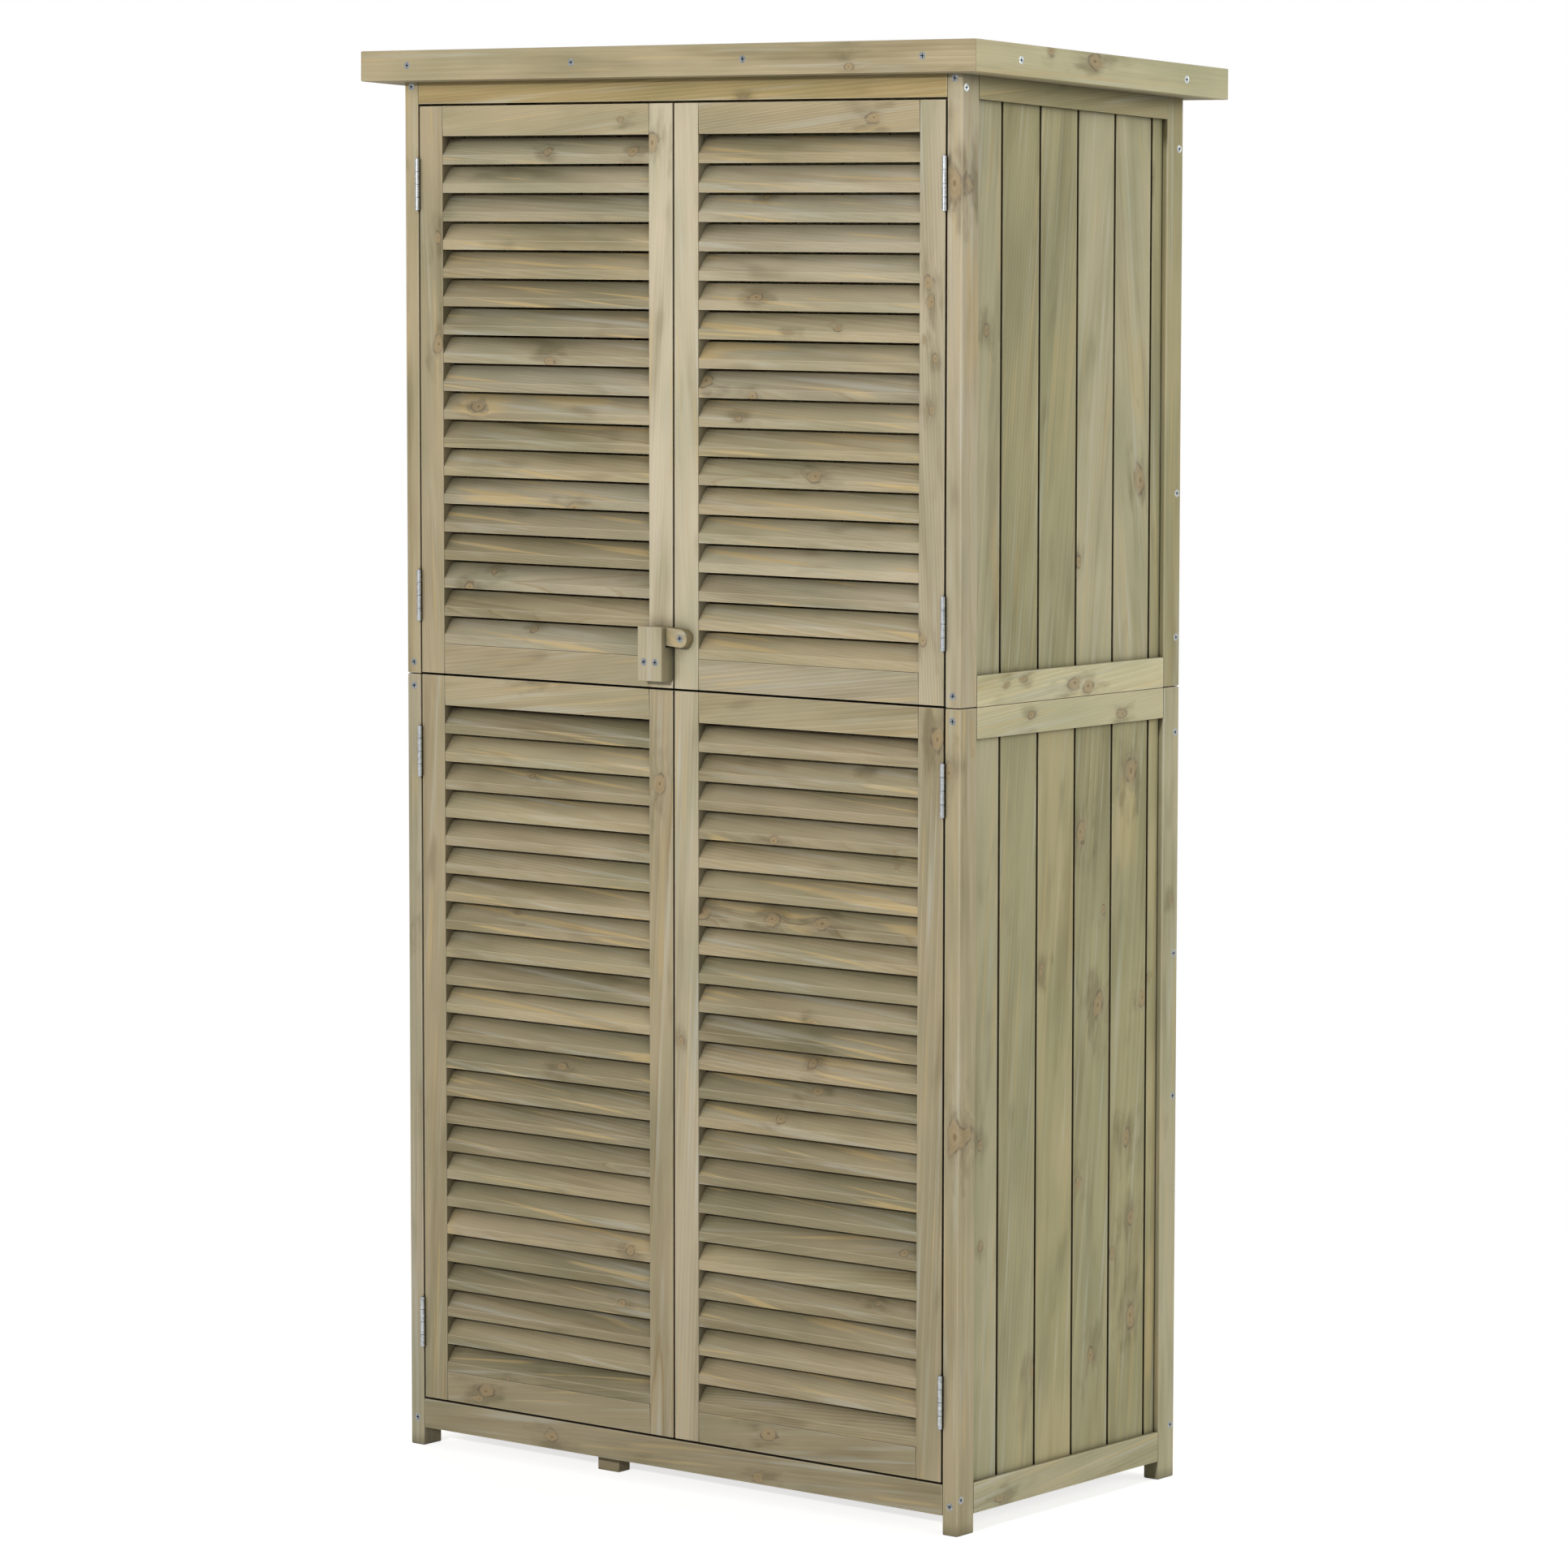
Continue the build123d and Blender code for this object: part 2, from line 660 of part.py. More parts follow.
def turn_button():
    """The turn button, round about its pivot and square at the keeper end."""
    half = BUTTON_HEIGHT / 2
    bar = block((-BUTTON_REACH, 0), (0, BUTTON_THICK), (-half, half))
    disc = Rot(-90, 0, 0) * Cylinder(half, BUTTON_THICK, align=(Align.CENTER, Align.CENTER, Align.MIN))
    hole = Rot(*INTO_FRONT) * shank(SCREW_LENGTH, PIVOT_RUN)
    return Location((PIVOT_X, BUTTON_FRONT, PIVOT_Z), (0, BUTTON_TILT, 0)) * (bar + disc - hole)


PIVOT_PLACE = Location((PIVOT_X, BUTTON_FRONT, PIVOT_Z), INTO_FRONT)


def build():
    """Makes every piece and writes one file for each node."""
    frame_shanks = both_sides(shank(SCREW_LENGTH), frame_screw_places())
    fascia_shanks = both_sides(shank(SHORT_SCREW), fascia_screw_places())
    keeper_shanks = [place * shank(KEEPER_SCREW_LENGTH) for place in keeper_screw_places()]
    pivot_shank = PIVOT_PLACE * shank(SHORT_SCREW)

    for name, post in posts().items():
        save(name, [bored(post, frame_shanks)])
    bottom_rail, top_rail = front_rails()
    save("front_bottom_rail", [bored(bottom_rail, frame_shanks)])
    save("front_top_rail", [bored(top_rail, frame_shanks)])
    right_rails = [bored(rail, frame_shanks) for rail in side_rails()]
    save("right_side_rails", right_rails)
    save("left_side_rails", mirrored(right_rails))
    right_boards = side_boards()
    save("right_side_boards", right_boards)
    save("left_side_boards", mirrored(right_boards))
    save("back_frame", [bored(piece, frame_shanks) for piece in back_frame()])
    save("back_boards", back_boards())

    save("floor_frame", bearer_frame(BOTTOM_TOP))
    save("floor_boards", deep_shelf(BOTTOM_TOP))
    save("centre_foot", [centre_foot()])
    save("middle_shelf_frame", bearer_frame(SPLIT_HEIGHT))
    save("middle_shelf_boards", deep_shelf(SPLIT_HEIGHT))
    ledgers, boards = upper_shelf()
    save("upper_shelf_ledgers", ledgers)
    save("upper_shelf_boards", boards)
    save("magnetic_catches", catches())

    for name, fascia in fascias().items():
        save(name, [bored(fascia, fascia_shanks)])
    save("roof_battens", [bored(batten, fascia_shanks) for batten in roof_battens()])
    save("roof_boards", roof_boards())
    save("roof_felt", [roof_felt()])

    frame_leaves = []
    pins = []
    strikes = {
        "upper": MIDDLE_TOP + CATCH_HEIGHT / 2,
        "lower": SPLIT_HEIGHT - RAIL_HEIGHT - CATCH_HEIGHT / 2,
    }
    for half, z in (("upper", UPPER_DOOR), ("lower", LOWER_DOOR)):
        frame_leaves += post_leaves(z) + mirrored(post_leaves(z))
        pins += hinge_pins(z) + mirrored(hinge_pins(z))
        pieces = {
            "stiles": stiles(z),
            "rails": door_rails(z),
            "slats": slats(z),
            "hinge_leaves": door_leaves(z),
            "strike_plate": [strike(strikes[half])],
        }
        for side in ("right", "left"):
            for name, made in pieces.items():
                shown = made if side == "right" else mirrored(made)
                if name == "stiles":
                    shown = [bored(piece, keeper_shanks + [pivot_shank]) for piece in shown]
                save(f"{half}_{side}_door_{name}", shown)
    save("post_hinge_leaves", frame_leaves)
    save("hinge_pins", pins)

    save("keeper_block", [bored(keeper(), keeper_shanks)])
    save("keeper_screws", [place * screw(KEEPER_SCREW_LENGTH) for place in keeper_screw_places()])
    save("turn_button", [turn_button()])
    save("turn_button_screw", [PIVOT_PLACE * screw(SHORT_SCREW)])
    save("frame_screws", both_sides(screw(SCREW_LENGTH), frame_screw_places()))
    save("fascia_screws", both_sides(screw(SHORT_SCREW), fascia_screw_places()))


build()
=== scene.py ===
"""The looks of a garden shed: a tall louvred cupboard of pressure-treated fir.

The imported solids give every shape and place. Each timber node is rebuilt here as planed boards with eased
edges and a grain that runs along the board, and every surface gets a procedural finish.
"""

import json
import logging
import math
import random
from collections.abc import Callable, Iterable, Sequence
from dataclasses import dataclass
from enum import Enum

import bmesh
import bpy
from mathutils import Matrix, Vector

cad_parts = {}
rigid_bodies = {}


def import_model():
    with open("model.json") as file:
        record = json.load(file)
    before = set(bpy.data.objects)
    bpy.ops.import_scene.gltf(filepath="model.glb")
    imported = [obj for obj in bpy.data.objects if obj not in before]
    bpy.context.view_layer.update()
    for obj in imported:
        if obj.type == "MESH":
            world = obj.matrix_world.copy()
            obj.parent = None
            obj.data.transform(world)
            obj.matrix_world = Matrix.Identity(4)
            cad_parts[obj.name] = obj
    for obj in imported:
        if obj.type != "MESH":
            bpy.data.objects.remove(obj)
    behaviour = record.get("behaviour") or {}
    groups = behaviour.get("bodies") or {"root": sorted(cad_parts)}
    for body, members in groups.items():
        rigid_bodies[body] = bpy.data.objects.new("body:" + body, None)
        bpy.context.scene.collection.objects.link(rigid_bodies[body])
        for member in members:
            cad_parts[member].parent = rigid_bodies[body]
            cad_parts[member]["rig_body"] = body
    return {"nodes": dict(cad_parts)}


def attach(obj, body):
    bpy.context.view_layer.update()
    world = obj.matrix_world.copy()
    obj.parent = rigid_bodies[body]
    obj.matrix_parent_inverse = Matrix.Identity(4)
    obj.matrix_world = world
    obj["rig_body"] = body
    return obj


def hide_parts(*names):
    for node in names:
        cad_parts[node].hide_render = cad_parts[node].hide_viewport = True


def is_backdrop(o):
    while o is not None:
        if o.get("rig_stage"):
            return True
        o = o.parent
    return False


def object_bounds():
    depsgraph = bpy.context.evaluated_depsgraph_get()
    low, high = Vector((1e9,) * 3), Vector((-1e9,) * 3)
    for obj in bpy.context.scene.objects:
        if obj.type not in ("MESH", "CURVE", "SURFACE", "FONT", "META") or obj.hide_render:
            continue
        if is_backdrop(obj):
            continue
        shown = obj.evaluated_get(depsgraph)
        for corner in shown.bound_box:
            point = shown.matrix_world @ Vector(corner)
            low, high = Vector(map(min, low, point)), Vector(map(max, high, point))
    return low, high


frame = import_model()
CAD_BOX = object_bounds()
LOG = logging.getLogger("garden_shed")
MM = 0.001
MIDDLE = (Vector(CAD_BOX[0]) + Vector(CAD_BOX[1])) / 2

Value = float | Sequence[float] | bpy.types.Node | bpy.types.NodeSocket | None


class Slot(Enum):
    """Material slots of the record that the pieces take their finish from."""

    TREATED_FIR = "treated_fir"
    FIR_BOARDS = "fir_boards"
    LOUVRE_FIR = "louvre_fir"
    ZINC_STEEL = "zinc_steel"
    ROOFING_FELT = "roofing_felt"
    CATCH_PLASTIC = "catch_plastic"


class Tone(Enum):
    """Tones that boards of one treated stack come in, before their grain darkens them a little."""

    BONE = "#DCD2AA"
    PALE = "#CFC2A7"
    CREAM = "#CCC39E"
    BLUSH = "#BFB296"
    LICHEN = "#BAB190"
    ASH = "#B3A88E"
    STRAW = "#B6A786"
    TAN = "#AFA081"
    OLIVE = "#B2A77F"
    MOSS = "#AAA27C"
    DUN = "#9D9173"
    HONEY = "#AF9967"


class Coat(Enum):
    """The two ways to lay a colour over wood: paint hides what is under it, and a glaze tints it."""

    PAINT = "MIX"
    GLAZE = "MULTIPLY"


class Face(Enum):
    """The two faces of the shed whose knots are placed one by one, by the way they look out."""

    FRONT = (0, -1, 0)
    RIGHT = (1, 0, 0)


def linear(colour: str) -> tuple[float, float, float, float]:
    """Turns an sRGB hex colour into the linear colour that a shader takes.

    Args:
        colour: Six hex digits after a hash.
    Returns:
        Linear red, green and blue, and an alpha of 1.
    """
    parts = [int(colour[place:place + 2], 16) / 255 for place in (1, 3, 5)]
    red, green, blue = (p / 12.92 if p <= 0.04045 else ((p + 0.055) / 1.055) ** 2.4 for p in parts)
    return red, green, blue, 1.0


WHITE = linear("#FFFFFF")
SMOOTH = {"interpolation_type": "SMOOTHSTEP"}


def per_mm(along: float, across: float) -> tuple[float, float, float]:
    """Scales of a pattern whose patches have that length and width, in millimetres."""
    return 1 / (along * MM), 1 / (across * MM), 1 / (across * MM)


class Graph:
    """A node tree with one way to add a node."""

    def __init__(self, tree: bpy.types.NodeTree) -> None:
        """Takes over a node tree and empties it."""
        self.tree = tree
        tree.nodes.clear()

    def add(self, kind: str, *inputs: Value, named: dict[str, Value] | None = None,
            **settings: object) -> bpy.types.Node:
        """Adds a node, sets its properties and fills its inputs.

        Args:
            kind: The node's type, without its ShaderNode prefix.
            inputs: What goes into the open inputs in order: a value, a socket, a node for its first output,
                or None to leave one as it is.
            named: The same for inputs that are given by name.
            settings: Properties of the node.
        Returns:
            The new node.
        """
        node = self.tree.nodes.new("ShaderNode" + kind)
        for name, value in settings.items():
            setattr(node, name, value)
        sockets = list(zip([socket for socket in node.inputs if socket.enabled], inputs))
        sockets += [(node.inputs[name], value) for name, value in (named or {}).items()]
        for socket, value in sockets:
            source = value.outputs[0] if isinstance(value, bpy.types.Node) else value
            if isinstance(source, bpy.types.NodeSocket):
                self.tree.links.new(source, socket)
            elif source is not None:
                socket.default_value = source
        return node


AddNode = Callable[..., bpy.types.Node]


def new_material(name: str) -> tuple[bpy.types.Material, Graph]:
    """Makes an empty material.

    Args:
        name: The material's name.
    Returns:
        The material and its node graph.
    """
    material = bpy.data.materials.new(name)
    material.use_nodes = True
    return material, Graph(material.node_tree)


# Shares of open sky where the painted shade under overhangs and in crevices starts and where it is strongest,
# and how far it takes there.
OVERHANG_SHADE_RANGE = (0.92, 0.6, 0.0, 1.0)
CREVICE_SHADE_RANGE = (0.46, 0.26, 0.0, 0.95)
SKY_RAYS = 8                   # that find how much sky is open


def paint_occlusion_shade(add: AddNode, colour: Value, overhang_shade: str, crevice_shade: str, reach: float) -> bpy.types.Node:
    """Paints shade where little sky reaches: a tint under overhangs, a dark colour in grooves, joints and
    recesses.

    Args:
        add: The graph's way to add a node.
        colour: The colour of the open surface.
        overhang_shade: Hex tint of the painted shade under overhangs, which darkens the colour.
        crevice_shade: Hex colour of the painted shade in grooves and joints, which hides it.
        reach: How far off a wall still shades, in millimetres.
    Returns:
        The node with the painted shade.
    """
    sky = add("AmbientOcclusion", named={"Distance": reach * MM}, samples=SKY_RAYS).outputs["AO"]
    overhang_shade_share = add("MapRange", sky, *OVERHANG_SHADE_RANGE)
    colour = add("MixRGB", overhang_shade_share, colour, linear(overhang_shade), blend_type=Coat.GLAZE.value)
    crevice_shade_share = add("MapRange", sky, *CREVICE_SHADE_RANGE, **SMOOTH)
    return add("MixRGB", crevice_shade_share, colour, linear(crevice_shade), blend_type=Coat.PAINT.value)


@dataclass(frozen=True)
class FirFinish:
    """Planed, pressure-treated fir.

    The salts grey the soft early wood and leave the hard late wood as thin tan lines, so each board shows
    fine rings or flames, soft green-grey blooms and, where the salts did not take, a golden streak. Early
    wood, lines, bloom, stain and smudge are glazes that say what is left of the board's own tone; streak,
    salt and edge are colours of their own.
    """

    name: str
    palette: tuple[Tone, ...]
    early: str = "#E6E4E2"
    line: str = "#C4B5A1"
    resin: str = "#E2C48C"
    bloom: str = "#E4EAE6"
    salt: str = "#C6C8BF"
    stain: str = "#DCD9D0"
    smudge: str = "#A9A493"
    streak: str = "#CBB07A"
    # pale paint on the eased edges: partly wear, partly a painted highlight where the round catches the light
    edge: str = "#CFC2A7"
    # painted shade by how little sky reaches: a tint under overhangs, a dark colour in grooves and joints
    overhang_shade: str = "#C8C8C3"
    crevice_shade: str = "#2A2219"
    ring: float = 3.0          # millimetres between rings, coarser than real fir so that they show
    shade_reach: float = 20.0      # millimetres from which a wall keeps the sky off, for the painted shade
    relief: float = 0.3        # millimetres between the tops of the fibres and the soft wood
    ring_strength: float = 0.72
    streak_strength: float = 0.3
    salt_strength: float = 0.32
    smudge_strength: float = 0.42
    edge_wear_and_highlight: float = 0.3
    roughness: float = 0.66
    gloss: float = 0.28
    ior: float = 1.5


@dataclass(frozen=True)
class KnotColours:
    """A live fir knot: a small brown heart, a tan body, a broken dark bark line and a greyer halo."""

    heart: str = "#6E573B"
    body: str = "#A9926B"
    rim: str = "#57483A"
    halo: str = "#978B70"


@dataclass(frozen=True)
class Patches:
    """Soft patches stretched along the grain."""

    along: float               # millimetres
    across: float              # millimetres
    low: float                 # noise level where they begin
    high: float                # noise level where they are full
    detail: float = 2.0        # octaves of finer patches


class FirMaterial:
    """Makes the material of one fir finish from attributes that each board carries.

    grain is the place in the board in metres: along it, across it and below its outer face. board holds
    three random numbers a board, wood its own tone, knot_0 and on the knots' places and radii, and eased
    marks the rounded edges. A range of four numbers below is a start, a stop and the values there; those of
    the knots start and stop at so many knot radii.
    """

    MOST_KNOTS = 6                         # that one board can carry
    SPREAD = 17.0                          # metres over which the boards lie apart in the patterns

    HEART_ACROSS = (-170 * MM, 170 * MM)   # where the heart of the log may lie beside the board's middle
    HEART_DEPTH = (16 * MM, 80 * MM)       # and below its face
    RUN_OUT = (-0.005, 0.005)              # how steeply a board may climb through the rings
    BENDS = (                              # long, middling and short bends of the rings, and their heights
        (Patches(900, 160, 0.2, 0.8), 1.6 * MM),
        (Patches(190, 60, 0.2, 0.8), 0.3 * MM),
        (Patches(34, 9, 0.2, 0.8), 0.2 * MM),
    )
    RING_WIDTH = (0.75, 1.7)               # in finish.ring
    EARLY_WOOD = (0.3, 0.8, 1.0, 0.0)      # parts of a year
    YEAR_END = (0.86, 0.97, 0.0, 1.0)
    PLAINEST_BOARD = 0.35                  # how much of the rings' strength it has
    PLAINEST_PATCH = 0.25
    RING_PATCHES = Patches(300, 70, 0.3, 0.7)

    FIBRE = Patches(130, 1.2, 0.2, 0.8, 3.0)   # wider than real fibres so that they show
    FIBRE_SHADE = (0.92, 1.06)
    FIBRE_ROUGHNESS = (-0.06, 0.1)
    FIBRE_RISE = 0.7                       # shares of the relief
    EARLY_WOOD_RISE = -0.3
    RELIEF_STRENGTH = 0.5

    BLOOM = Patches(190, 60, 0.35, 0.75)
    STAIN = Patches(260, 24, 0.45, 0.8, 3.0)
    SALTS = Patches(260, 9, 0.54, 0.76, 3.0)
    SMUDGE = Patches(110, 30, 0.6, 0.8)
    STREAK_LENGTH = 230 * MM
    STREAK_WIDTH = 6 * MM
    STREAK_SPREAD = 90.0                   # streaks over which the boards lie apart in their pattern
    STREAK = (0.62, 0.7, 0.0, 1.0)
    STREAK_DETAIL = 1.0                    # octaves of finer streaks

    KNOT_SLENDER = 0.64                    # knots are longer along the grain than across
    KNOT_TAPER = (0.0, 45 * MM, 1.0, 0.3)  # a branch thins below the face
    KNOT_EDGE = Patches(26, 15, 0.2, 0.8)
    KNOT_WOBBLE = (0.6, 1.4)
    KNOT_SWELL = (0.4, 3.0, 3 * MM, 0.0)   # how far the rings bend round a knot
    KNOT_SMUDGE = (1.0, 5.0, 0.7, 0.0)
    KNOT_SMUDGE_PATCHES = Patches(60, 14, 0.4, 0.66)
    HALO = (0.9, 2.4, 0.4, 0.0)
    BODY = (0.75, 1.05, 0.6, 0.0)
    HEART = (0.05, 0.35, 0.6, 0.0)
    RIM = (0.0, 0.3, 0.6, 0.0)             # to either side of one radius
    BARK = Patches(22, 8, 0.34, 0.64)
    KNOT_YEARS = 13.0                      # turns of the rings in a knot, in radians a radius
    KNOT_YEAR_SHADE = 0.28
    NO_KNOT = 1000.0                       # a distance that no mark of a knot reaches

    def __init__(self, finish: FirFinish, knots: KnotColours) -> None:
        """Starts the material with what its patterns read.

        Args:
            finish: The finish of the wood.
            knots: The colours of its knots.
        """
        self.finish = finish
        self.knots = knots
        self.material, graph = new_material(finish.name)
        self.add = graph.add
        self.grain = self.add("Attribute", attribute_name="grain").outputs["Vector"]
        self.board = self.add("Attribute", attribute_name="board").outputs["Vector"]
        self.seeds = self.add("SeparateXYZ", self.board).outputs
        spread = self.add("VectorMath", self.board, (self.SPREAD,) * 3, operation="MULTIPLY")
        self.place = self.add("VectorMath", self.grain, spread, operation="ADD")

    def cloud(self, patches: Patches) -> bpy.types.Node:
        """Adds soft patches.

        Args:
            patches: Their size and how they come up.
        Returns:
            A node whose output runs from 0 to 1.
        """
        scales = per_mm(patches.along, patches.across)
        scaled = self.add("VectorMath", self.place, scales, operation="MULTIPLY")
        noise = self.add("TexNoise", scaled, 1.0, patches.detail)
        return self.add("MapRange", noise, patches.low, patches.high, 0.0, 1.0, **SMOOTH)

    def coat(self, under: Value, kind: Coat, colour: Value, *shares: Value) -> bpy.types.Node:
        """Lays a coat over the wood.

        Args:
            under: The colour of the wood so far.
            kind: How the coat takes.
            colour: The coat's own colour.
            shares: How far it takes, all of them multiplied.
        Returns:
            The node with the new colour.
        """
        share, *others = shares
        for other in others:
            share = self.add("Math", share, other, operation="MULTIPLY")
        return self.add("MixRGB", share, under, colour, blend_type=kind.value)

    def knot_distance(self) -> bpy.types.Node:
        """Adds the distance to the nearest knot; a branch thins towards the heart of the log.

        Returns:
            The node that gives the distance, in knot radii.
        """
        nearest = self.NO_KNOT
        for number in range(self.MOST_KNOTS):
            knot = self.add("Attribute", attribute_name=f"knot_{number}").outputs["Vector"]
            radius = self.add("SeparateXYZ", knot).outputs["Z"]
            offset = self.add("VectorMath", self.grain, knot, operation="SUBTRACT")
            flat = self.add("VectorMath", offset, (self.KNOT_SLENDER, 1.0, 0.0), operation="MULTIPLY")
            length = self.add("VectorMath", flat, operation="LENGTH").outputs["Value"]
            ratio = self.add("Math", length, radius, operation="DIVIDE")
            nearest = self.add("Math", nearest, ratio, operation="MINIMUM")
        depth = self.add("SeparateXYZ", self.grain).outputs["Z"]
        thickness = self.add("MapRange", depth, *self.KNOT_TAPER)
        nearest = self.add("Math", nearest, thickness, operation="DIVIDE")
        wobble = self.add("MapRange", self.cloud(self.KNOT_EDGE), 0.0, 1.0, *self.KNOT_WOBBLE)
        return self.add("Math", nearest, wobble, operation="MULTIPLY")

    def ring_radius(self, knot: bpy.types.Node) -> bpy.types.Node:
        """Adds the distance from the heart of the log, in metres, bent round the knots.

        Args:
            knot: The distance to the nearest knot.
        Returns:
            The node that gives the radius.
        """
        along, across, depth = self.add("SeparateXYZ", self.grain).outputs
        heart_across = self.add("MapRange", self.seeds[0], 0.0, 1.0, *self.HEART_ACROSS)
        heart_depth = self.add("MapRange", self.seeds[1], 0.0, 1.0, *self.HEART_DEPTH)
        off_across = self.add("Math", across, heart_across, operation="SUBTRACT")
        off_depth = self.add("Math", depth, heart_depth, operation="SUBTRACT")
        section = self.add("CombineXYZ", off_across, off_depth)
        radius = self.add("VectorMath", section, operation="LENGTH").outputs["Value"]
        slope = self.add("MapRange", self.seeds[2], 0.0, 1.0, *self.RUN_OUT)
        radius = self.add("Math", along, slope, radius, operation="MULTIPLY_ADD")
        for patches, height in self.BENDS:
            bend = self.add("MapRange", self.cloud(patches), 0.0, 1.0, -height, height)
            radius = self.add("Math", radius, bend, operation="ADD")
        swell = self.add("MapRange", knot, *self.KNOT_SWELL, **SMOOTH)
        return self.add("Math", radius, swell, operation="ADD")

    def rings(self, radius: bpy.types.Node) -> tuple[bpy.types.Node, bpy.types.Node]:
        """Adds the soft early wood of each year's ring and the thin line where the year ends.

        Args:
            radius: The distance from the heart of the log.
        Returns:
            Two masks from 0 to 1.
        """
        narrow, wide = (share * self.finish.ring * MM for share in self.RING_WIDTH)
        width = self.add("MapRange", self.seeds[1], 0.0, 1.0, narrow, wide)
        years = self.add("Math", radius, width, operation="DIVIDE")
        part = self.add("Math", years, operation="FRACT")
        early = self.add("MapRange", part, *self.EARLY_WOOD, **SMOOTH)
        line = self.add("MapRange", part, *self.YEAR_END, **SMOOTH)
        return early, line

    def streaks(self, radius: bpy.types.Node) -> bpy.types.Node:
        """Adds golden streaks that follow the rings, as where the salts did not take.

        Args:
            radius: The distance from the heart of the log.
        Returns:
            The node that gives the streaks, from 0 to 1.
        """
        along = self.add("SeparateXYZ", self.place).outputs["X"]
        length = self.add("Math", along, 1 / self.STREAK_LENGTH, operation="MULTIPLY")
        width = self.add("Math", radius, 1 / self.STREAK_WIDTH, operation="MULTIPLY")
        other = self.add("Math", self.seeds[2], self.STREAK_SPREAD, operation="MULTIPLY")
        spot = self.add("CombineXYZ", length, width, other)
        noise = self.add("TexNoise", spot, 1.0, self.STREAK_DETAIL)
        return self.add("MapRange", noise, *self.STREAK, **SMOOTH)

    def with_rings(self, colour: Value, early: bpy.types.Node, line: bpy.types.Node) -> bpy.types.Node:
        """Lays the rings over the board's tone, fainter in plain boards and in plain patches.

        Args:
            colour: The board's tone.
            early: The mask of the early wood.
            line: The mask of the lines where a year ends.
        Returns:
            The node with the rings' colours.
        """
        look = self.finish
        faint = self.PLAINEST_BOARD * look.ring_strength
        strength = self.add("MapRange", self.seeds[2], 0.0, 1.0, faint, look.ring_strength)
        shown = self.add("MapRange", self.cloud(self.RING_PATCHES), 0.0, 1.0, self.PLAINEST_PATCH, 1.0)
        late = self.coat(linear(look.line), Coat.PAINT, linear(look.resin), self.seeds[0])
        colour = self.coat(colour, Coat.GLAZE, linear(look.early), early, shown, strength)
        return self.coat(colour, Coat.GLAZE, late, line, shown, strength)

    def with_salts(self, colour: Value, radius: bpy.types.Node) -> bpy.types.Node:
        """Lays blooms, stains, golden streaks and pale salts over the rings.

        Args:
            colour: The colour of the wood with its rings.
            radius: The distance from the heart of the log.
        Returns:
            The node with the treated colour.
        """
        look = self.finish
        colour = self.coat(colour, Coat.GLAZE, linear(look.bloom), self.cloud(self.BLOOM))
        colour = self.coat(colour, Coat.GLAZE, linear(look.stain), self.cloud(self.STAIN))
        golden = self.streaks(radius)
        pale = self.cloud(self.SALTS)
        colour = self.coat(colour, Coat.PAINT, linear(look.streak), golden, look.streak_strength)
        return self.coat(colour, Coat.PAINT, linear(look.salt), pale, look.salt_strength)

    def with_smudges(self, colour: Value, knot: bpy.types.Node) -> bpy.types.Node:
        """Lays grey smudges over the wood, most of them near the knots.

        Args:
            colour: The treated colour.
            knot: The distance to the nearest knot.
        Returns:
            The node with the smudged colour.
        """
        smudge = linear(self.finish.smudge)
        near = self.add("MapRange", knot, *self.KNOT_SMUDGE, **SMOOTH)
        colour = self.coat(colour, Coat.GLAZE, smudge, near, self.cloud(self.KNOT_SMUDGE_PATCHES))
        return self.coat(colour, Coat.GLAZE, smudge, self.cloud(self.SMUDGE), self.finish.smudge_strength)

    def with_knots(self, colour: Value, knot: bpy.types.Node) -> bpy.types.Node:
        """Lays halo, body, heart and bark line of the knots over the wood.

        Args:
            colour: The colour of the clear wood.
            knot: The distance to the nearest knot.
        Returns:
            The node with the knots' colours.
        """
        tones = self.knots
        halo = self.add("MapRange", knot, *self.HALO, **SMOOTH)
        colour = self.coat(colour, Coat.PAINT, linear(tones.halo), halo)
        turns = self.add("Math", knot, self.KNOT_YEARS, operation="MULTIPLY")
        years = self.add("Math", turns, operation="SINE")
        dark = self.add("MapRange", years, -1.0, 1.0, 0.0, self.KNOT_YEAR_SHADE)
        body = self.coat(linear(tones.body), Coat.PAINT, linear(tones.heart), dark)
        inside = self.add("MapRange", knot, *self.BODY, **SMOOTH)
        colour = self.coat(colour, Coat.PAINT, body, inside)
        heart = self.add("MapRange", knot, *self.HEART, **SMOOTH)
        colour = self.coat(colour, Coat.PAINT, linear(tones.heart), heart)
        outside = self.add("Math", knot, 1.0, operation="SUBTRACT")
        off_rim = self.add("Math", outside, operation="ABSOLUTE")
        rim = self.add("MapRange", off_rim, *self.RIM, **SMOOTH)
        return self.coat(colour, Coat.PAINT, linear(tones.rim), rim, self.cloud(self.BARK))

    def build(self) -> bpy.types.Material:
        """Adds the colours, roughness and relief.

        Returns:
            The finished material.
        """
        look = self.finish
        knot = self.knot_distance()
        radius = self.ring_radius(knot)
        early, line = self.rings(radius)
        fibre = self.cloud(self.FIBRE)
        shade = self.add("MapRange", fibre, 0.0, 1.0, *self.FIBRE_SHADE)
        eased = self.add("Attribute", attribute_name="eased").outputs["Fac"]
        colour = self.add("Attribute", attribute_name="wood").outputs["Color"]
        colour = self.with_rings(colour, early, line)
        colour = self.with_salts(colour, radius)
        colour = self.with_smudges(colour, knot)
        colour = self.coat(colour, Coat.GLAZE, shade, 1.0)
        # eased edges painted paler: partly wear, partly a painted highlight
        colour = self.coat(colour, Coat.PAINT, linear(look.edge), eased, look.edge_wear_and_highlight)
        colour = self.with_knots(colour, knot)
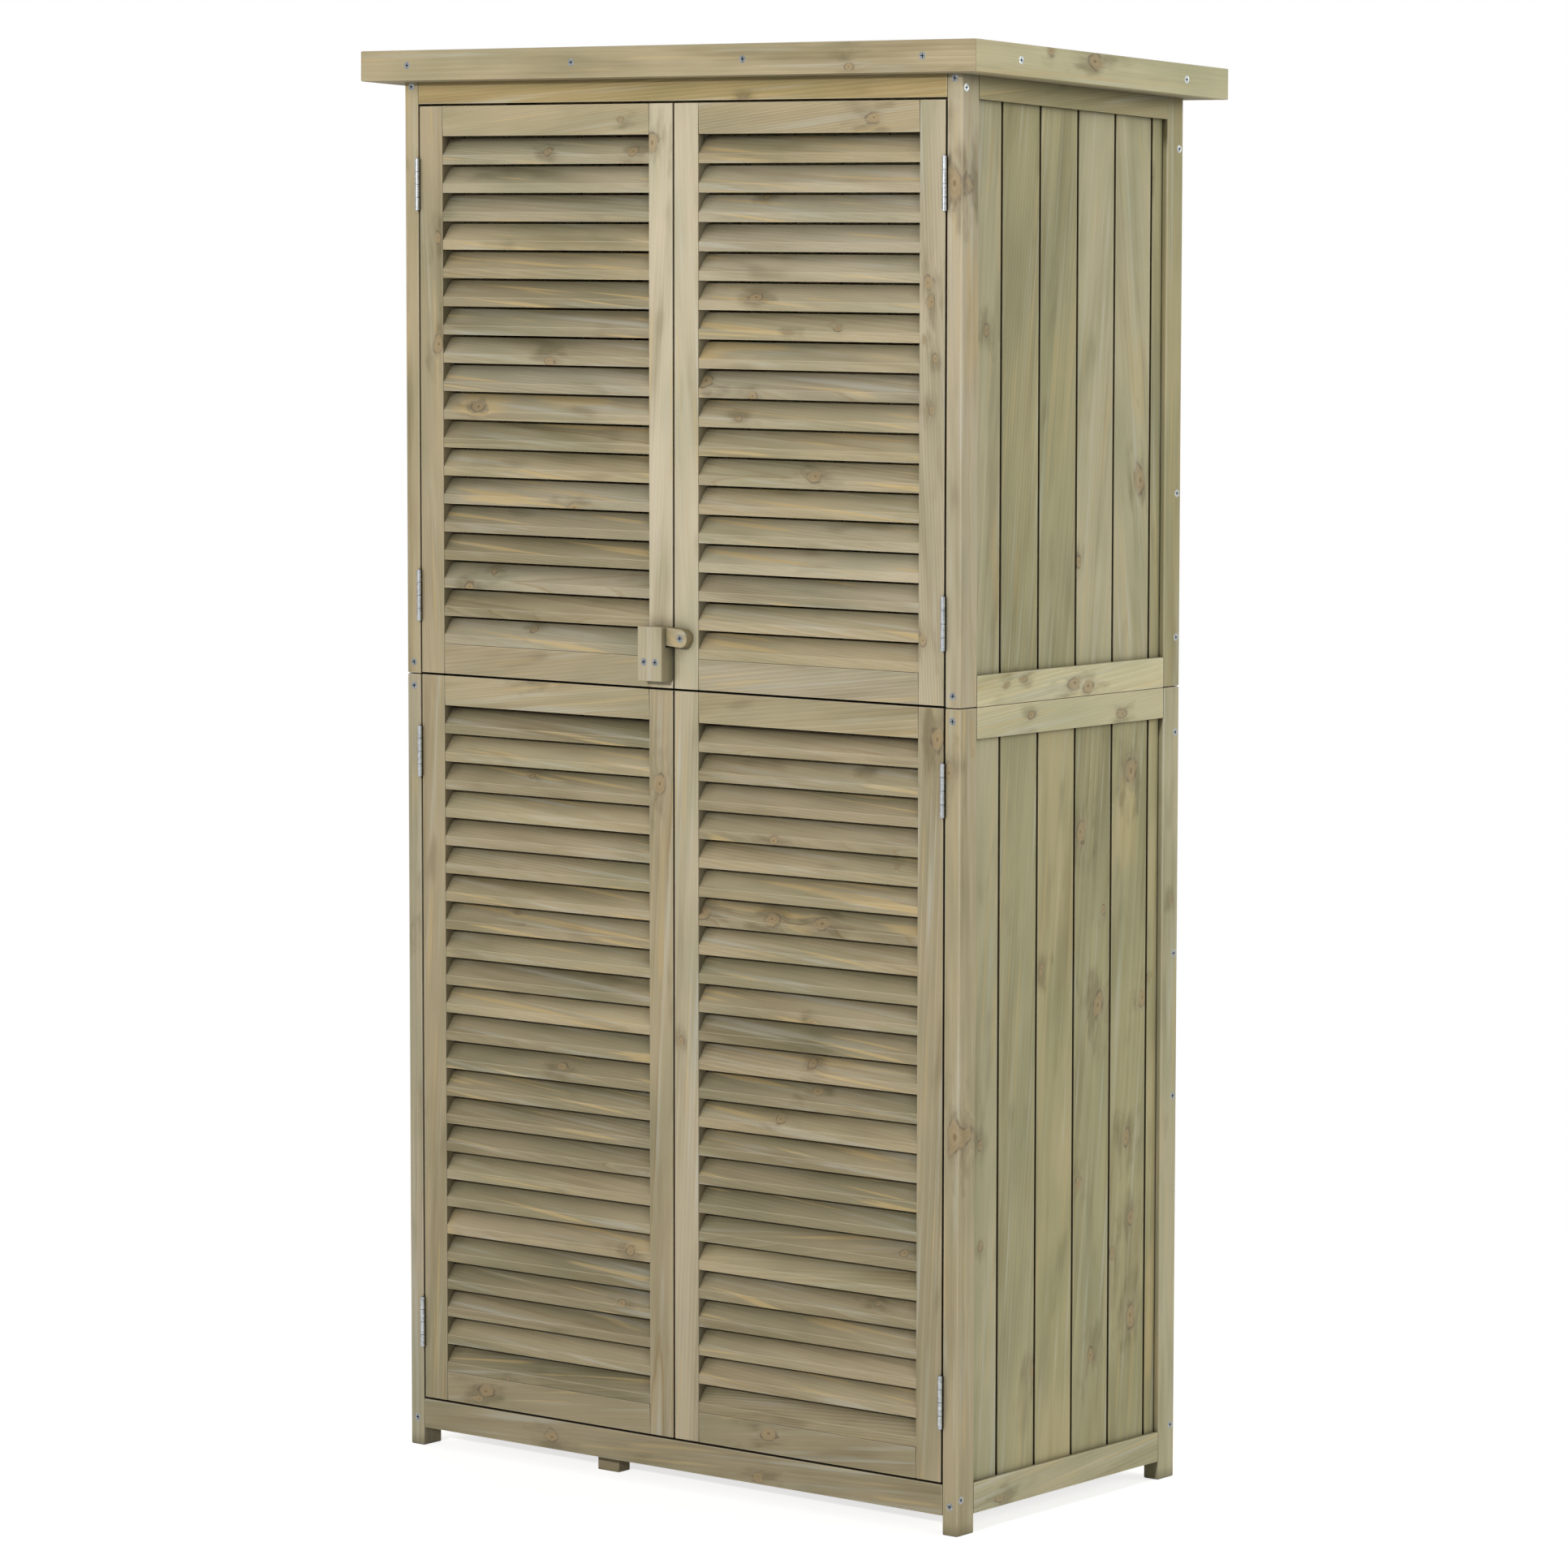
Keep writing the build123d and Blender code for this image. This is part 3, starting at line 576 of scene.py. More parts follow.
        # painted shade by how little sky reaches: darker on the slats' slopes under the slat above, dark in
        # grooves and joints
        colour = paint_occlusion_shade(self.add, colour, look.overhang_shade, look.crevice_shade, look.shade_reach)
        smooth, rough = (look.roughness + change for change in self.FIBRE_ROUGHNESS)
        roughness = self.add("MapRange", fibre, 0.0, 1.0, smooth, rough)
        dip = self.add("Math", early, self.EARLY_WOOD_RISE, operation="MULTIPLY")
        height = self.add("Math", fibre, self.FIBRE_RISE, dip, operation="MULTIPLY_ADD")
        bump = self.add("Bump", self.RELIEF_STRENGTH, look.relief * MM, named={"Height": height})
        shader = self.add("BsdfPrincipled", named={
            "Base Color": colour, "Roughness": roughness, "Normal": bump,
            "Specular IOR Level": look.gloss, "IOR": look.ior,
        })
        self.add("OutputMaterial", shader)
        return self.material


@dataclass(frozen=True)
class ZincFinish:
    """Bright zinc-plated steel: a cool grey metal, a little cloudy, with fine rolling scratches."""

    name: str = "zinc_plated_steel"
    # one zinc in two brightnesses as painted reflection: these darker tones for the screw heads, paler ones
    # for the hinges
    bright: str = "#A2A6A8"
    dull: str = "#7B7F82"
    # painted shade by how little sky reaches: a tint near walls, a dark colour in the slots and round the
    # heads
    overhang_shade: str = "#9A9C9E"
    crevice_shade: str = "#141617"
    cloud: float = 3.5             # millimetres across a cloudy patch
    cloud_detail: float = 3.0      # octaves of finer patches
    clouds: tuple[float, float] = (0.35, 0.65)   # noise levels of the brightest and the dullest patches
    scratch_width: float = 0.5     # millimetres, wider than real scratches so that they show
    scratch_length: float = 9.0
    scratch_depth: float = 0.04
    scratch_detail: float = 2.0    # octaves of finer scratches
    scratch_strength: float = 0.25
    shade_reach: float = 2.5           # millimetres from which a wall keeps the sky off, for the painted shade
    roughness: tuple[float, float, float, float] = (0.3, 0.7, 0.18, 0.4)   # two noise levels, and there

    def build(self) -> bpy.types.Material:
        """Makes the material.

        Returns:
            The finished material.
        """
        material, graph = new_material(self.name)
        add = graph.add
        place = add("TexCoord").outputs["Object"]
        cloudy = add("TexNoise", place, 1 / (self.cloud * MM), self.cloud_detail)
        share = add("MapRange", cloudy, *self.clouds, 0.0, 1.0)
        colour = add("MixRGB", share, linear(self.bright), linear(self.dull))
        # painted shade where little sky reaches
        colour = paint_occlusion_shade(add, colour, self.overhang_shade, self.crevice_shade, self.shade_reach)
        roughness = add("MapRange", cloudy, *self.roughness)
        scales = per_mm(self.scratch_width, self.scratch_length)
        scaled = add("VectorMath", place, scales, operation="MULTIPLY")
        scratch = add("TexNoise", scaled, 1.0, self.scratch_detail)
        bump = add("Bump", self.scratch_strength, self.scratch_depth * MM, named={"Height": scratch})
        shader = add("BsdfPrincipled", named={
            "Base Color": colour, "Roughness": roughness, "Normal": bump, "Metallic": 1.0,
        })
        add("OutputMaterial", shader)
        return material


@dataclass(frozen=True)
class FeltFinish:
    """Mineral roofing felt: slate grit pressed into bitumen, matt, each grain its own grey-green."""

    name: str = "mineral_roofing_felt"
    dark: str = "#3B3F3C"
    pale: str = "#737970"
    grit: float = 1.6              # millimetres
    grit_height: float = 0.6
    grit_strength: float = 0.8
    wear: float = 90.0             # millimetres across a patch that has lost grit
    wear_detail: float = 4.0       # octaves of finer patches
    wear_range: tuple[float, float, float, float] = (0.4, 0.7, 0.0, 0.45)   # two noise levels, and there
    roughness: float = 0.92
    gloss: float = 0.2

    def build(self) -> bpy.types.Material:
        """Makes the material.

        Returns:
            The finished material.
        """
        material, graph = new_material(self.name)
        add = graph.add
        place = add("TexCoord").outputs["Object"]
        grains = add("TexVoronoi", place, 1 / (self.grit * MM))
        tone = add("SeparateColor", grains.outputs["Color"]).outputs["Red"]
        colour = add("MixRGB", tone, linear(self.dark), linear(self.pale))
        wear = add("TexNoise", place, 1 / (self.wear * MM), self.wear_detail)
        worn = add("MapRange", wear, *self.wear_range)
        colour = add("MixRGB", worn, colour, linear(self.dark))
        grit = {"Height": grains.outputs["Distance"]}
        bump = add("Bump", self.grit_strength, self.grit_height * MM, named=grit, invert=True)
        shader = add("BsdfPrincipled", named={
            "Base Color": colour, "Roughness": self.roughness, "Normal": bump,
            "Specular IOR Level": self.gloss,
        })
        add("OutputMaterial", shader)
        return material


@dataclass(frozen=True)
class PlasticFinish:
    """Moulded brown ABS of the catches: even in colour, its gloss broken by a fine spark-eroded grain."""

    name: str = "moulded_brown_abs"
    colour: str = "#5B4634"
    worn: str = "#6F5944"
    grain: float = 0.7             # millimetres
    grain_depth: float = 0.05
    grain_strength: float = 0.3
    patch: float = 12.0            # millimetres
    detail: float = 2.0            # octaves of finer grain and patches
    roughness: tuple[float, float, float, float] = (0.3, 0.7, 0.38, 0.52)   # two noise levels, and there
    ior: float = 1.54

    def build(self) -> bpy.types.Material:
        """Makes the material.

        Returns:
            The finished material.
        """
        material, graph = new_material(self.name)
        add = graph.add
        place = add("TexCoord").outputs["Object"]
        grain = add("TexNoise", place, 1 / (self.grain * MM), self.detail)
        patches = add("TexNoise", place, 1 / (self.patch * MM), self.detail)
        colour = add("MixRGB", patches, linear(self.colour), linear(self.worn))
        roughness = add("MapRange", grain, *self.roughness)
        bump = add("Bump", self.grain_strength, self.grain_depth * MM, named={"Height": grain})
        shader = add("BsdfPrincipled", named={
            "Base Color": colour, "Roughness": roughness, "Normal": bump, "IOR": self.ior,
        })
        add("OutputMaterial", shader)
        return material


# How far forward or to the right a board comes, in metres, if its knots show on that face.
FRONT_REACH = -0.19
RIGHT_REACH = 0.38


@dataclass(frozen=True)
class Knot:
    """A knot by its place on the front (X and height) or on the right wall (Y and height), in millimetres."""

    face: Face
    beside: float
    height: float
    radius: float

    def inside(self, low: Vector, high: Vector) -> bool:
        """Whether the knot lies in a board.

        Args:
            low: The board's lowest corner.
            high: The board's highest corner.
        Returns:
            True if the board reaches its face and holds its place.
        """
        axis = 0 if self.face is Face.FRONT else 1
        reaches = low.y < FRONT_REACH if self.face is Face.FRONT else high.x > RIGHT_REACH
        spans = low[axis] <= self.beside * MM <= high[axis] and low.z <= self.height * MM <= high.z
        return reaches and spans

    def spot(self) -> Vector:
        """Gives the knot's place on its face.

        Returns:
            The place in the shed; the way into the board doesn't matter and is 0.
        """
        if self.face is Face.FRONT:
            return Vector((self.beside, 0, self.height)) * MM
        return Vector((0, self.beside, self.height)) * MM


# Knots that stand out, in millimetres: place across the face and height, to the nearest 5, and radius.
FRONT_KNOTS = (
    (385, 1450, 11), (390, 435, 10), (380, 825, 6), (-75, 1520, 3), (-30, 1495, 8), (-345, 1390, 5),
    (-345, 1270, 6), (-175, 1485, 4), (-50, 1485, 5), (-280, 1200, 6), (-135, 1090, 6), (350, 1345, 6),
    (355, 1325, 5), (345, 1285, 3), (360, 1265, 3), (355, 1210, 4), (345, 965, 5), (130, 1435, 3),
    (235, 1295, 4), (170, 1290, 3), (120, 1220, 4), (50, 1235, 6), (100, 1195, 4), (205, 1135, 7),
    (365, 860, 9), (-20, 790, 7), (10, 505, 4), (45, 650, 8), (145, 650, 7), (215, 650, 8), (200, 495, 5),
    (205, 465, 6), (155, 430, 5), (310, 300, 4), (290, 240, 5), (-205, 785, 4), (-160, 460, 6), (-55, 260, 5),
    (-70, 200, 5), (-280, 75, 6), (-290, 65, 5), (135, 80, 6), (-180, 35, 6), (120, 30, 5),
)
RIGHT_KNOTS = (
    (-150, 1295, 5), (-155, 420, 4), (-155, 310, 4), (-55, 160, 6), (-45, 600, 4), (60, 550, 9), (25, 355, 5),
    (50, 160, 6), (25, 745, 8), (70, 655, 4), (120, 805, 9), (145, 550, 5), (115, 395, 6), (125, 305, 6),
    (90, 270, 4), (125, 195, 8), (20, 1040, 5), (135, 1125, 9), (-125, 30, 5), (-20, 1580, 7),
    (-100, 1590, 4), (5, 910, 6), (30, 905, 5), (-90, 920, 3), (-120, 915, 3), (95, 870, 5), (-75, 880, 4),
)
KNOTS = tuple(Knot(Face.FRONT, *knot) for knot in FRONT_KNOTS)
KNOTS += tuple(Knot(Face.RIGHT, *knot) for knot in RIGHT_KNOTS)

# Tones of boards that stand out, in the order of a node's boards: doors from the meeting side and from the
# bottom up, side rails from the bottom up, side boards from the front, lower half first.
TONES = {
    "upper_left_door_stiles": (Tone.PALE, Tone.TAN),
    "upper_right_door_stiles": (Tone.PALE, Tone.BLUSH),
    "lower_left_door_stiles": (Tone.TAN, Tone.TAN),
    "lower_right_door_stiles": (Tone.BLUSH, Tone.TAN),
    "upper_left_door_rails": (Tone.TAN, Tone.STRAW),
    "upper_right_door_rails": (Tone.ASH, Tone.STRAW),
    "lower_left_door_rails": (Tone.DUN, Tone.STRAW),
    "lower_right_door_rails": (Tone.DUN, Tone.STRAW),
    "front_top_rail": (Tone.HONEY,),
    "front_bottom_rail": (Tone.DUN,),
    "front_left_upper_post": (Tone.STRAW,),
    "front_left_lower_post": (Tone.ASH,),
    "front_right_upper_post": (Tone.BLUSH,),
    "front_right_lower_post": (Tone.STRAW,),
    "back_right_upper_post": (Tone.OLIVE,),
    "back_right_lower_post": (Tone.LICHEN,),
    "right_side_rails": (Tone.LICHEN, Tone.CREAM, Tone.BONE, Tone.OLIVE),
    "right_side_boards": (
        Tone.LICHEN, Tone.MOSS, Tone.OLIVE, Tone.MOSS, Tone.MOSS, Tone.OLIVE,
        Tone.LICHEN, Tone.MOSS, Tone.MOSS, Tone.LICHEN, Tone.LICHEN, Tone.MOSS,
    ),
    "front_fascia": (Tone.STRAW,),
    "right_fascia": (Tone.CREAM,),
    "keeper_block": (Tone.BLUSH,),
    "turn_button": (Tone.STRAW,),
}

# Palettes of the slats of single doors, where they differ from the other doors': darker in the lower doors,
# paler in the upper right one.
SLAT_PALETTES = {
    "upper_right_door_slats": (Tone.BLUSH, Tone.STRAW, Tone.ASH),
    "lower_left_door_slats": (Tone.TAN, Tone.STRAW, Tone.DUN, Tone.DUN),
    "lower_right_door_slats": (Tone.STRAW, Tone.TAN, Tone.DUN),
}


@dataclass
class Board:
    """One closed solid of a timber node, eased, with the frame that its grain runs in."""

    points: list[Vector]
    faces: list[list[int]]
    eased: list[float]
    axes: Matrix
    centre: Vector
    half: Vector
    knots: list[Knot]

    def grain(self, point: Vector) -> Vector:
        """Gives a point's place along the board, across it and below its outer face."""
        along, across, out = self.axes @ (point - self.centre)
        return Vector((along, across, self.half.z - out))


@dataclass(frozen=True)
class Planing:
    """How a joiner leaves the boards: edges eased by a small round, ends a little short of what they meet."""

    ease: float = 1.0          # millimetres
    short: float = 0.0         # millimetres that each end stands back, so that the joint shows
    steps: int = 2
    shortest: float = 5.0      # edges shorter than this, as round a screw hole, stay sharp
    corner: float = math.radians(30)
    flat: float = math.radians(1)


class Timber:
    """The planed boards that stand for one timber node."""

    FAR = Vector((9.0, 9.0, MM))   # a knot that no board reaches
    SHADE_ANGLE = math.radians(20)
    RANDOM_KNOTS = 2               # the most that a board gets
    KNOTTY_LENGTH = 2.4            # metres; a board that long is sure to get them all
    KNOT_REACH = 0.9               # how near to a board's edges they come
    KNOT_RADII = (2.5 * MM, 6 * MM)
    OWN_TONE_MIX = 0.15            # the most of another tone that a board with its own tone takes
    TONE_SPREAD = (0.97, 1.03)

    def __init__(self, node: str, fir: FirMaterial, slot: Slot, planing: Planing) -> None:
        """Keeps what the boards are made from.

        Args:
            node: The timber node.
            fir: Its material.
            slot: Its material slot, which is kept but not used.
            planing: How its boards are planed.
        """
        self.node = node
        self.fir = fir
        self.slot = slot
        self.planing = planing

    def solids(self) -> Iterable[list[list[Vector]]]:
        """Splits the node's triangles into closed solids: one ends where no edge is left open.

        Returns:
            For each solid its triangles, each a list of three points.
        """
        mesh = frame["nodes"][self.node].data
        points = [vertex.co.copy().freeze() for vertex in mesh.vertices]
        triangles: list[list[Vector]] = []
        open_edges: set[frozenset[Vector]] = set()
        for polygon in mesh.polygons:
            corners = [points[index] for index in polygon.vertices]
            triangles.append(corners)
            for start, stop in zip(corners, corners[1:] + corners[:1]):
                open_edges ^= {frozenset((start, stop))}
            if not open_edges:
                yield triangles
                triangles = []

    def board(self, triangles: list[list[Vector]]) -> Board:
        """Makes one board: flat faces joined, long sharp edges eased, grain along its longest edge.

        Args:
            triangles: The solid's triangles.
        Returns:
            The board.
        """
        work = self.planing
        shape = bmesh.new()
        corners = {point: shape.verts.new(point) for triangle in triangles for point in triangle}
        for triangle in triangles:
            shape.faces.new([corners[point] for point in triangle])
        bmesh.ops.dissolve_limit(shape, angle_limit=work.flat, verts=shape.verts[:], edges=shape.edges[:])
        low = Vector([min(point[axis] for point in corners) for axis in range(3)])
        high = Vector([max(point[axis] for point in corners) for axis in range(3)])
        knots = [knot for knot in KNOTS if knot.inside(low, high)]
        longest = max(shape.edges, key=lambda edge: edge.calc_length())
        axes, centre, half = self.grain_frame(longest, list(corners), knots)
        for vertex in shape.verts:
            reach = axes[0].dot(vertex.co - centre)
            if half.x - abs(reach) < MM:
                vertex.co -= axes[0] * math.copysign(work.short * MM, reach)
        sharp = [edge for edge in shape.edges
                 if edge.calc_length() > work.shortest * MM and edge.calc_face_angle(0.0) > work.corner]
        rounded = bmesh.ops.bevel(shape, geom=sharp, offset=work.ease * MM, offset_type="OFFSET",
                                  segments=work.steps, profile=0.5, affect="EDGES", clamp_overlap=True)
        new = set(rounded["faces"])
        shape.verts.index_update()
        board = Board(
            points=[vertex.co.copy() for vertex in shape.verts],
            faces=[[vertex.index for vertex in face.verts] for face in shape.faces],
            eased=[float(face in new) for face in shape.faces],
            axes=axes, centre=centre, half=half, knots=knots,
        )
        shape.free()
        return board

    def grain_frame(self, edge: bmesh.types.BMEdge, points: list[Vector],
                    knots: list[Knot]) -> tuple[Matrix, Vector, Vector]:
        """Finds the frame of a board: along its grain, across it and out of the face that shows.

        Args:
            edge: The board's longest edge, which the grain follows.
            points: The board's corners.
            knots: The knots placed in it, which grew towards the face that they show on.
        Returns:
            The frame as rows of a matrix, the board's centre and its half sizes in that frame.
        """
        along = (edge.verts[1].co - edge.verts[0].co).normalized()
        along = along if max(along, key=abs) > 0 else -along
        aside = Vector((1, 0, 0)) if abs(along.x) < 0.5 else Vector((0, 1, 0))
        first = (aside - along * along.dot(aside)).normalized()
        sides = [first, along.cross(first)]

        def span(axis: Vector) -> tuple[float, float]:
            """Gives the board's lowest and highest place along an axis."""
            places = [axis.dot(point) for point in points]
            return min(places), max(places)

        if knots:
            towards = Vector(knots[0].face.value)
            out = max(sides, key=lambda axis: abs(axis.dot(towards)))
        else:
            towards = sum(points, Vector()) / len(points) - MIDDLE
            out = min(sides, key=lambda axis: span(axis)[1] - span(axis)[0])
        out = out if out.dot(towards) > 0 else -out
        axes = Matrix((along, out.cross(along), out))
        spans = [span(axis) for axis in axes]
        middle = Vector([(low + high) / 2 for low, high in spans])
        half = Vector([(high - low) / 2 for low, high in spans])
        return axes, axes.transposed() @ middle, half

    def knots(self, board: Board, draw: random.Random) -> list[Vector]:
        """Chooses a board's knots: those listed for it if there are any, or else a few at random.

        Args:
            board: The board.
            draw: The board's own random numbers.
        Returns:
            As many knots as the material reads: place along, place across and radius, in metres.
        """
        found = []
        for knot in board.knots:
            along, across, _ = board.grain(knot.spot())
            found.append(Vector((along, across, knot.radius * MM)))
        if not found:
            for _ in range(self.RANDOM_KNOTS):
                if draw.random() < 2 * board.half.x / self.KNOTTY_LENGTH:
                    along = draw.uniform(-self.KNOT_REACH, self.KNOT_REACH) * board.half.x
                    across = draw.uniform(-self.KNOT_REACH, self.KNOT_REACH) * board.half.y
                    found.append(Vector((along, across, draw.uniform(*self.KNOT_RADII))))
        return (found + [self.FAR] * FirMaterial.MOST_KNOTS)[:FirMaterial.MOST_KNOTS]

    def tone(self, number: int, draw: random.Random) -> Vector:
        """Chooses a board's tone: its own if it stands out, or else a mix of two of the finish's tones.

        Args:
            number: The board's place in its node.
            draw: The board's own random numbers.
        Returns:
            The linear colour.
        """
        first, second = draw.choices(SLAT_PALETTES.get(self.node, self.fir.finish.palette), k=2)
        share = draw.random()
        own = TONES.get(self.node, ())[number:number + 1]
        if own:
            first, share = own[0], self.OWN_TONE_MIX * share
        mixed = Vector(linear(first.value)[:3]).lerp(Vector(linear(second.value)[:3]), share)
        return mixed * draw.uniform(*self.TONE_SPREAD)

    def build(self) -> bpy.types.Object:
        """Builds the node's boards as one piece that rides on its body.

        Returns:
            The piece.
        """
        points: list[Vector] = []
        faces: list[list[int]] = []
        eased: list[float] = []
        marks: dict[str, list[float]] = {name: [] for name in self.mark_names()}
        for number, triangles in enumerate(self.solids()):
            board = self.board(triangles)
            draw = random.Random(f"{self.node} {number}")
            seeds = Vector((draw.random(), draw.random(), draw.random()))
            constant = [seeds, self.tone(number, draw), *self.knots(board, draw)]
            for point in board.points:
                for name, value in zip(marks, [board.grain(point), *constant]):
                    marks[name].extend(value)
            start = len(points)
            points += board.points
            faces += [[start + index for index in face] for face in board.faces]
            eased += board.eased
        mesh = bpy.data.meshes.new(f"{self.node}_boards")
        mesh.from_pydata(points, [], faces)
        for name, values in marks.items():
            mesh.attributes.new(name, "FLOAT_VECTOR", "POINT").data.foreach_set("vector", values)
        mesh.attributes.new("eased", "FLOAT", "FACE").data.foreach_set("value", eased)
        mesh.shade_smooth()
        mesh.set_sharp_from_angle(angle=self.SHADE_ANGLE)
        mesh.materials.append(self.fir.material)
        piece = bpy.data.objects.new(f"{self.node}_planed", mesh)
        bpy.context.scene.collection.objects.link(piece)
        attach(piece, frame["nodes"][self.node]["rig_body"])
        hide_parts(self.node)
        LOG.info("%s: %d faces", piece.name, len(faces))
        return piece

    @staticmethod
    def mark_names() -> list[str]:
        """Names of the attributes that a board carries for its material."""
        return ["grain", "board", "wood"] + [f"knot_{number}" for number in range(FirMaterial.MOST_KNOTS)]


class Workshop:
    """The finishes of the shed, each made once, and the two ways to dress a node with one."""

    def __init__(self) -> None:
        """Makes every material."""
        knots = KnotColours()
        frames = (Tone.STRAW, Tone.TAN, Tone.BLUSH, Tone.ASH)
        boards = (Tone.MOSS, Tone.LICHEN, Tone.OLIVE)
        slats = (Tone.STRAW, Tone.ASH, Tone.DUN)
        finishes = {
            Slot.TREATED_FIR: FirFinish("planed_treated_fir", frames),
            Slot.FIR_BOARDS: FirFinish("planed_treated_fir_cladding", boards, streak_strength=0.25),
            Slot.LOUVRE_FIR: FirFinish(
                "planed_treated_fir_louvre", slats, streak_strength=0.55, ring_strength=0.85,
            ),
        }
        self.fir = {slot: FirMaterial(finish, knots) for slot, finish in finishes.items()}
        for material in self.fir.values():
            material.build()
        self.fittings = {
            Slot.ZINC_STEEL: ZincFinish().build(),
            Slot.ROOFING_FELT: FeltFinish().build(),
            Slot.CATCH_PLASTIC: PlasticFinish().build(),
        }
        # the same zinc in paler tones for hinges and plates, as painted reflection brighter than on the
        # screws
        self.hinge_steel = ZincFinish("rolled_zinc_plated_steel", bright="#BCC0C2", dull="#979B9E").build()

    def plane(self, nodes: Iterable[str], slot: Slot, ease: float, short: float = 0.0) -> None:
        """Rebuilds timber nodes as planed boards.

        Args:
            nodes: The timber nodes.
            slot: Their material slot.
            ease: Round of their edges in millimetres.
            short: How far their ends stand back from a joint, in millimetres.
        """
        for node in nodes:
            Timber(node, self.fir[slot], slot, Planing(ease=ease, short=short)).build()

    def finish(self, nodes: Iterable[str], slot: Slot, material: bpy.types.Material | None = None) -> None:
        """Gives nodes whose shape is right their finish.

        Args:
            nodes: The nodes, which stay as they are.
            slot: Their material slot.
            material: Their material if it isn't the slot's usual one.
        """
        for node in nodes:
            piece = frame["nodes"][node]
            for material_slot in piece.material_slots:
                material_slot.link = "OBJECT"
                material_slot.material = material or self.fittings[slot]
            LOG.info("%s: %s", node, slot.value)


@dataclass
class Carcass:
    """Posts, rails, walls and shelves, with the screws, catches and the fixed halves of the hinges.

    Its sizes are in millimetres: the round of the edges, and how far ends stand back from a joint.
    """

    post_ease: float = 1.5
    post_short: float = 0.6
    rail_ease: float = 1.2
    board_ease: float = 0.8

    def build(self, shop: Workshop) -> None:
        """Builds the timber of the carcass.

        Args:
            shop: The finishes and the ways to dress a node.
        """
        corners = [f"{end}_{side}" for end in ("front", "back") for side in ("left", "right")]
        lower = [f"{corner}_lower_post" for corner in corners]
        upper = [f"{corner}_upper_post" for corner in corners]
        rails = ["front_bottom_rail", "front_top_rail", "left_side_rails", "right_side_rails", "back_frame",
                 "centre_foot", "floor_frame", "middle_shelf_frame", "upper_shelf_ledgers"]
        shelves = ["floor_boards", "middle_shelf_boards", "upper_shelf_boards"]
        walls = ["left_side_boards", "right_side_boards", "back_boards"]
        shop.plane(lower, Slot.TREATED_FIR, self.post_ease)
        shop.plane(upper, Slot.TREATED_FIR, self.post_ease, self.post_short)
        shop.plane(rails, Slot.TREATED_FIR, self.rail_ease)
        shop.plane(shelves, Slot.TREATED_FIR, self.board_ease)
        shop.plane(walls, Slot.FIR_BOARDS, self.board_ease)

    def dress(self, shop: Workshop) -> None:
        """Finishes the metal and plastic fittings.

        Args:
            shop: The finishes and the ways to dress a node.
        """
        shop.finish(["post_hinge_leaves", "hinge_pins"], Slot.ZINC_STEEL, shop.hinge_steel)
        shop.finish(["frame_screws"], Slot.ZINC_STEEL)
        shop.finish(["magnetic_catches"], Slot.CATCH_PLASTIC)


@dataclass
class Roof:
    """Fascias, battens, boards and felt, with the round of the edges in millimetres."""

    fascia_ease: float = 1.0
    board_ease: float = 0.8

    def build(self, shop: Workshop) -> None:
        """Builds the timber of the roof.

        Args:
            shop: The finishes and the ways to dress a node.
        """
        fascias = [f"{side}_fascia" for side in ("front", "left", "right", "back")]
        shop.plane(fascias, Slot.TREATED_FIR, self.fascia_ease)
        shop.plane(["roof_battens", "roof_boards"], Slot.TREATED_FIR, self.board_ease)

    def dress(self, shop: Workshop) -> None:
        """Finishes the felt and the screws."""
        shop.finish(["roof_felt"], Slot.ROOFING_FELT)
        shop.finish(["fascia_screws"], Slot.ZINC_STEEL)


@dataclass
class Door:
    """One louvred door, with the round of its edges and the gap at its rails' ends in millimetres."""

    name: str
    frame_ease: float = 0.8
    rail_short: float = 0.6
    slat_ease: float = 0.5

    def build(self, shop: Workshop) -> None:
        """Builds the door's frame and slats.

        Args:
            shop: The finishes and the ways to dress a node.
        """
        shop.plane([f"{self.name}_stiles"], Slot.TREATED_FIR, self.frame_ease)
        shop.plane([f"{self.name}_rails"], Slot.TREATED_FIR, self.frame_ease, self.rail_short)
        shop.plane([f"{self.name}_slats"], Slot.LOUVRE_FIR, self.slat_ease)

    def dress(self, shop: Workshop) -> None:
        """Finishes the door's hinge leaves and strike plate."""
        plates = [f"{self.name}_hinge_leaves", f"{self.name}_strike_plate"]
        shop.finish(plates, Slot.ZINC_STEEL, shop.hinge_steel)


@dataclass
class Latch:
    """Keeper block and turn button, with their screws and the round of their edges in millimetres."""

    ease: float = 0.8

    def build(self, shop: Workshop) -> None:
        """Builds the two timber pieces."""
        shop.plane(["keeper_block", "turn_button"], Slot.TREATED_FIR, self.ease)

    def dress(self, shop: Workshop) -> None:
        """Finishes the screws."""
        shop.finish(["keeper_screws", "turn_button_screw"], Slot.ZINC_STEEL)


@dataclass(frozen=True)
class Sun:
    """A soft, far lamp: where it stands round the shed and how strong, wide and warm it is."""

    azimuth: float             # degrees from the front, towards the right
    height: float              # degrees above the floor
    strength: float
    width: float               # degrees
    colour: str


@dataclass(frozen=True)
class Key:
    """The main lamp: a ball of light before the doors, above the camera, that draws the slats' shadows."""

    azimuth: float = 8.0       # degrees from the front, towards the right
    distance: float = 6.7      # metres
    height: float = 2.7
    radius: float = 0.15
    watts: float = 1010.0


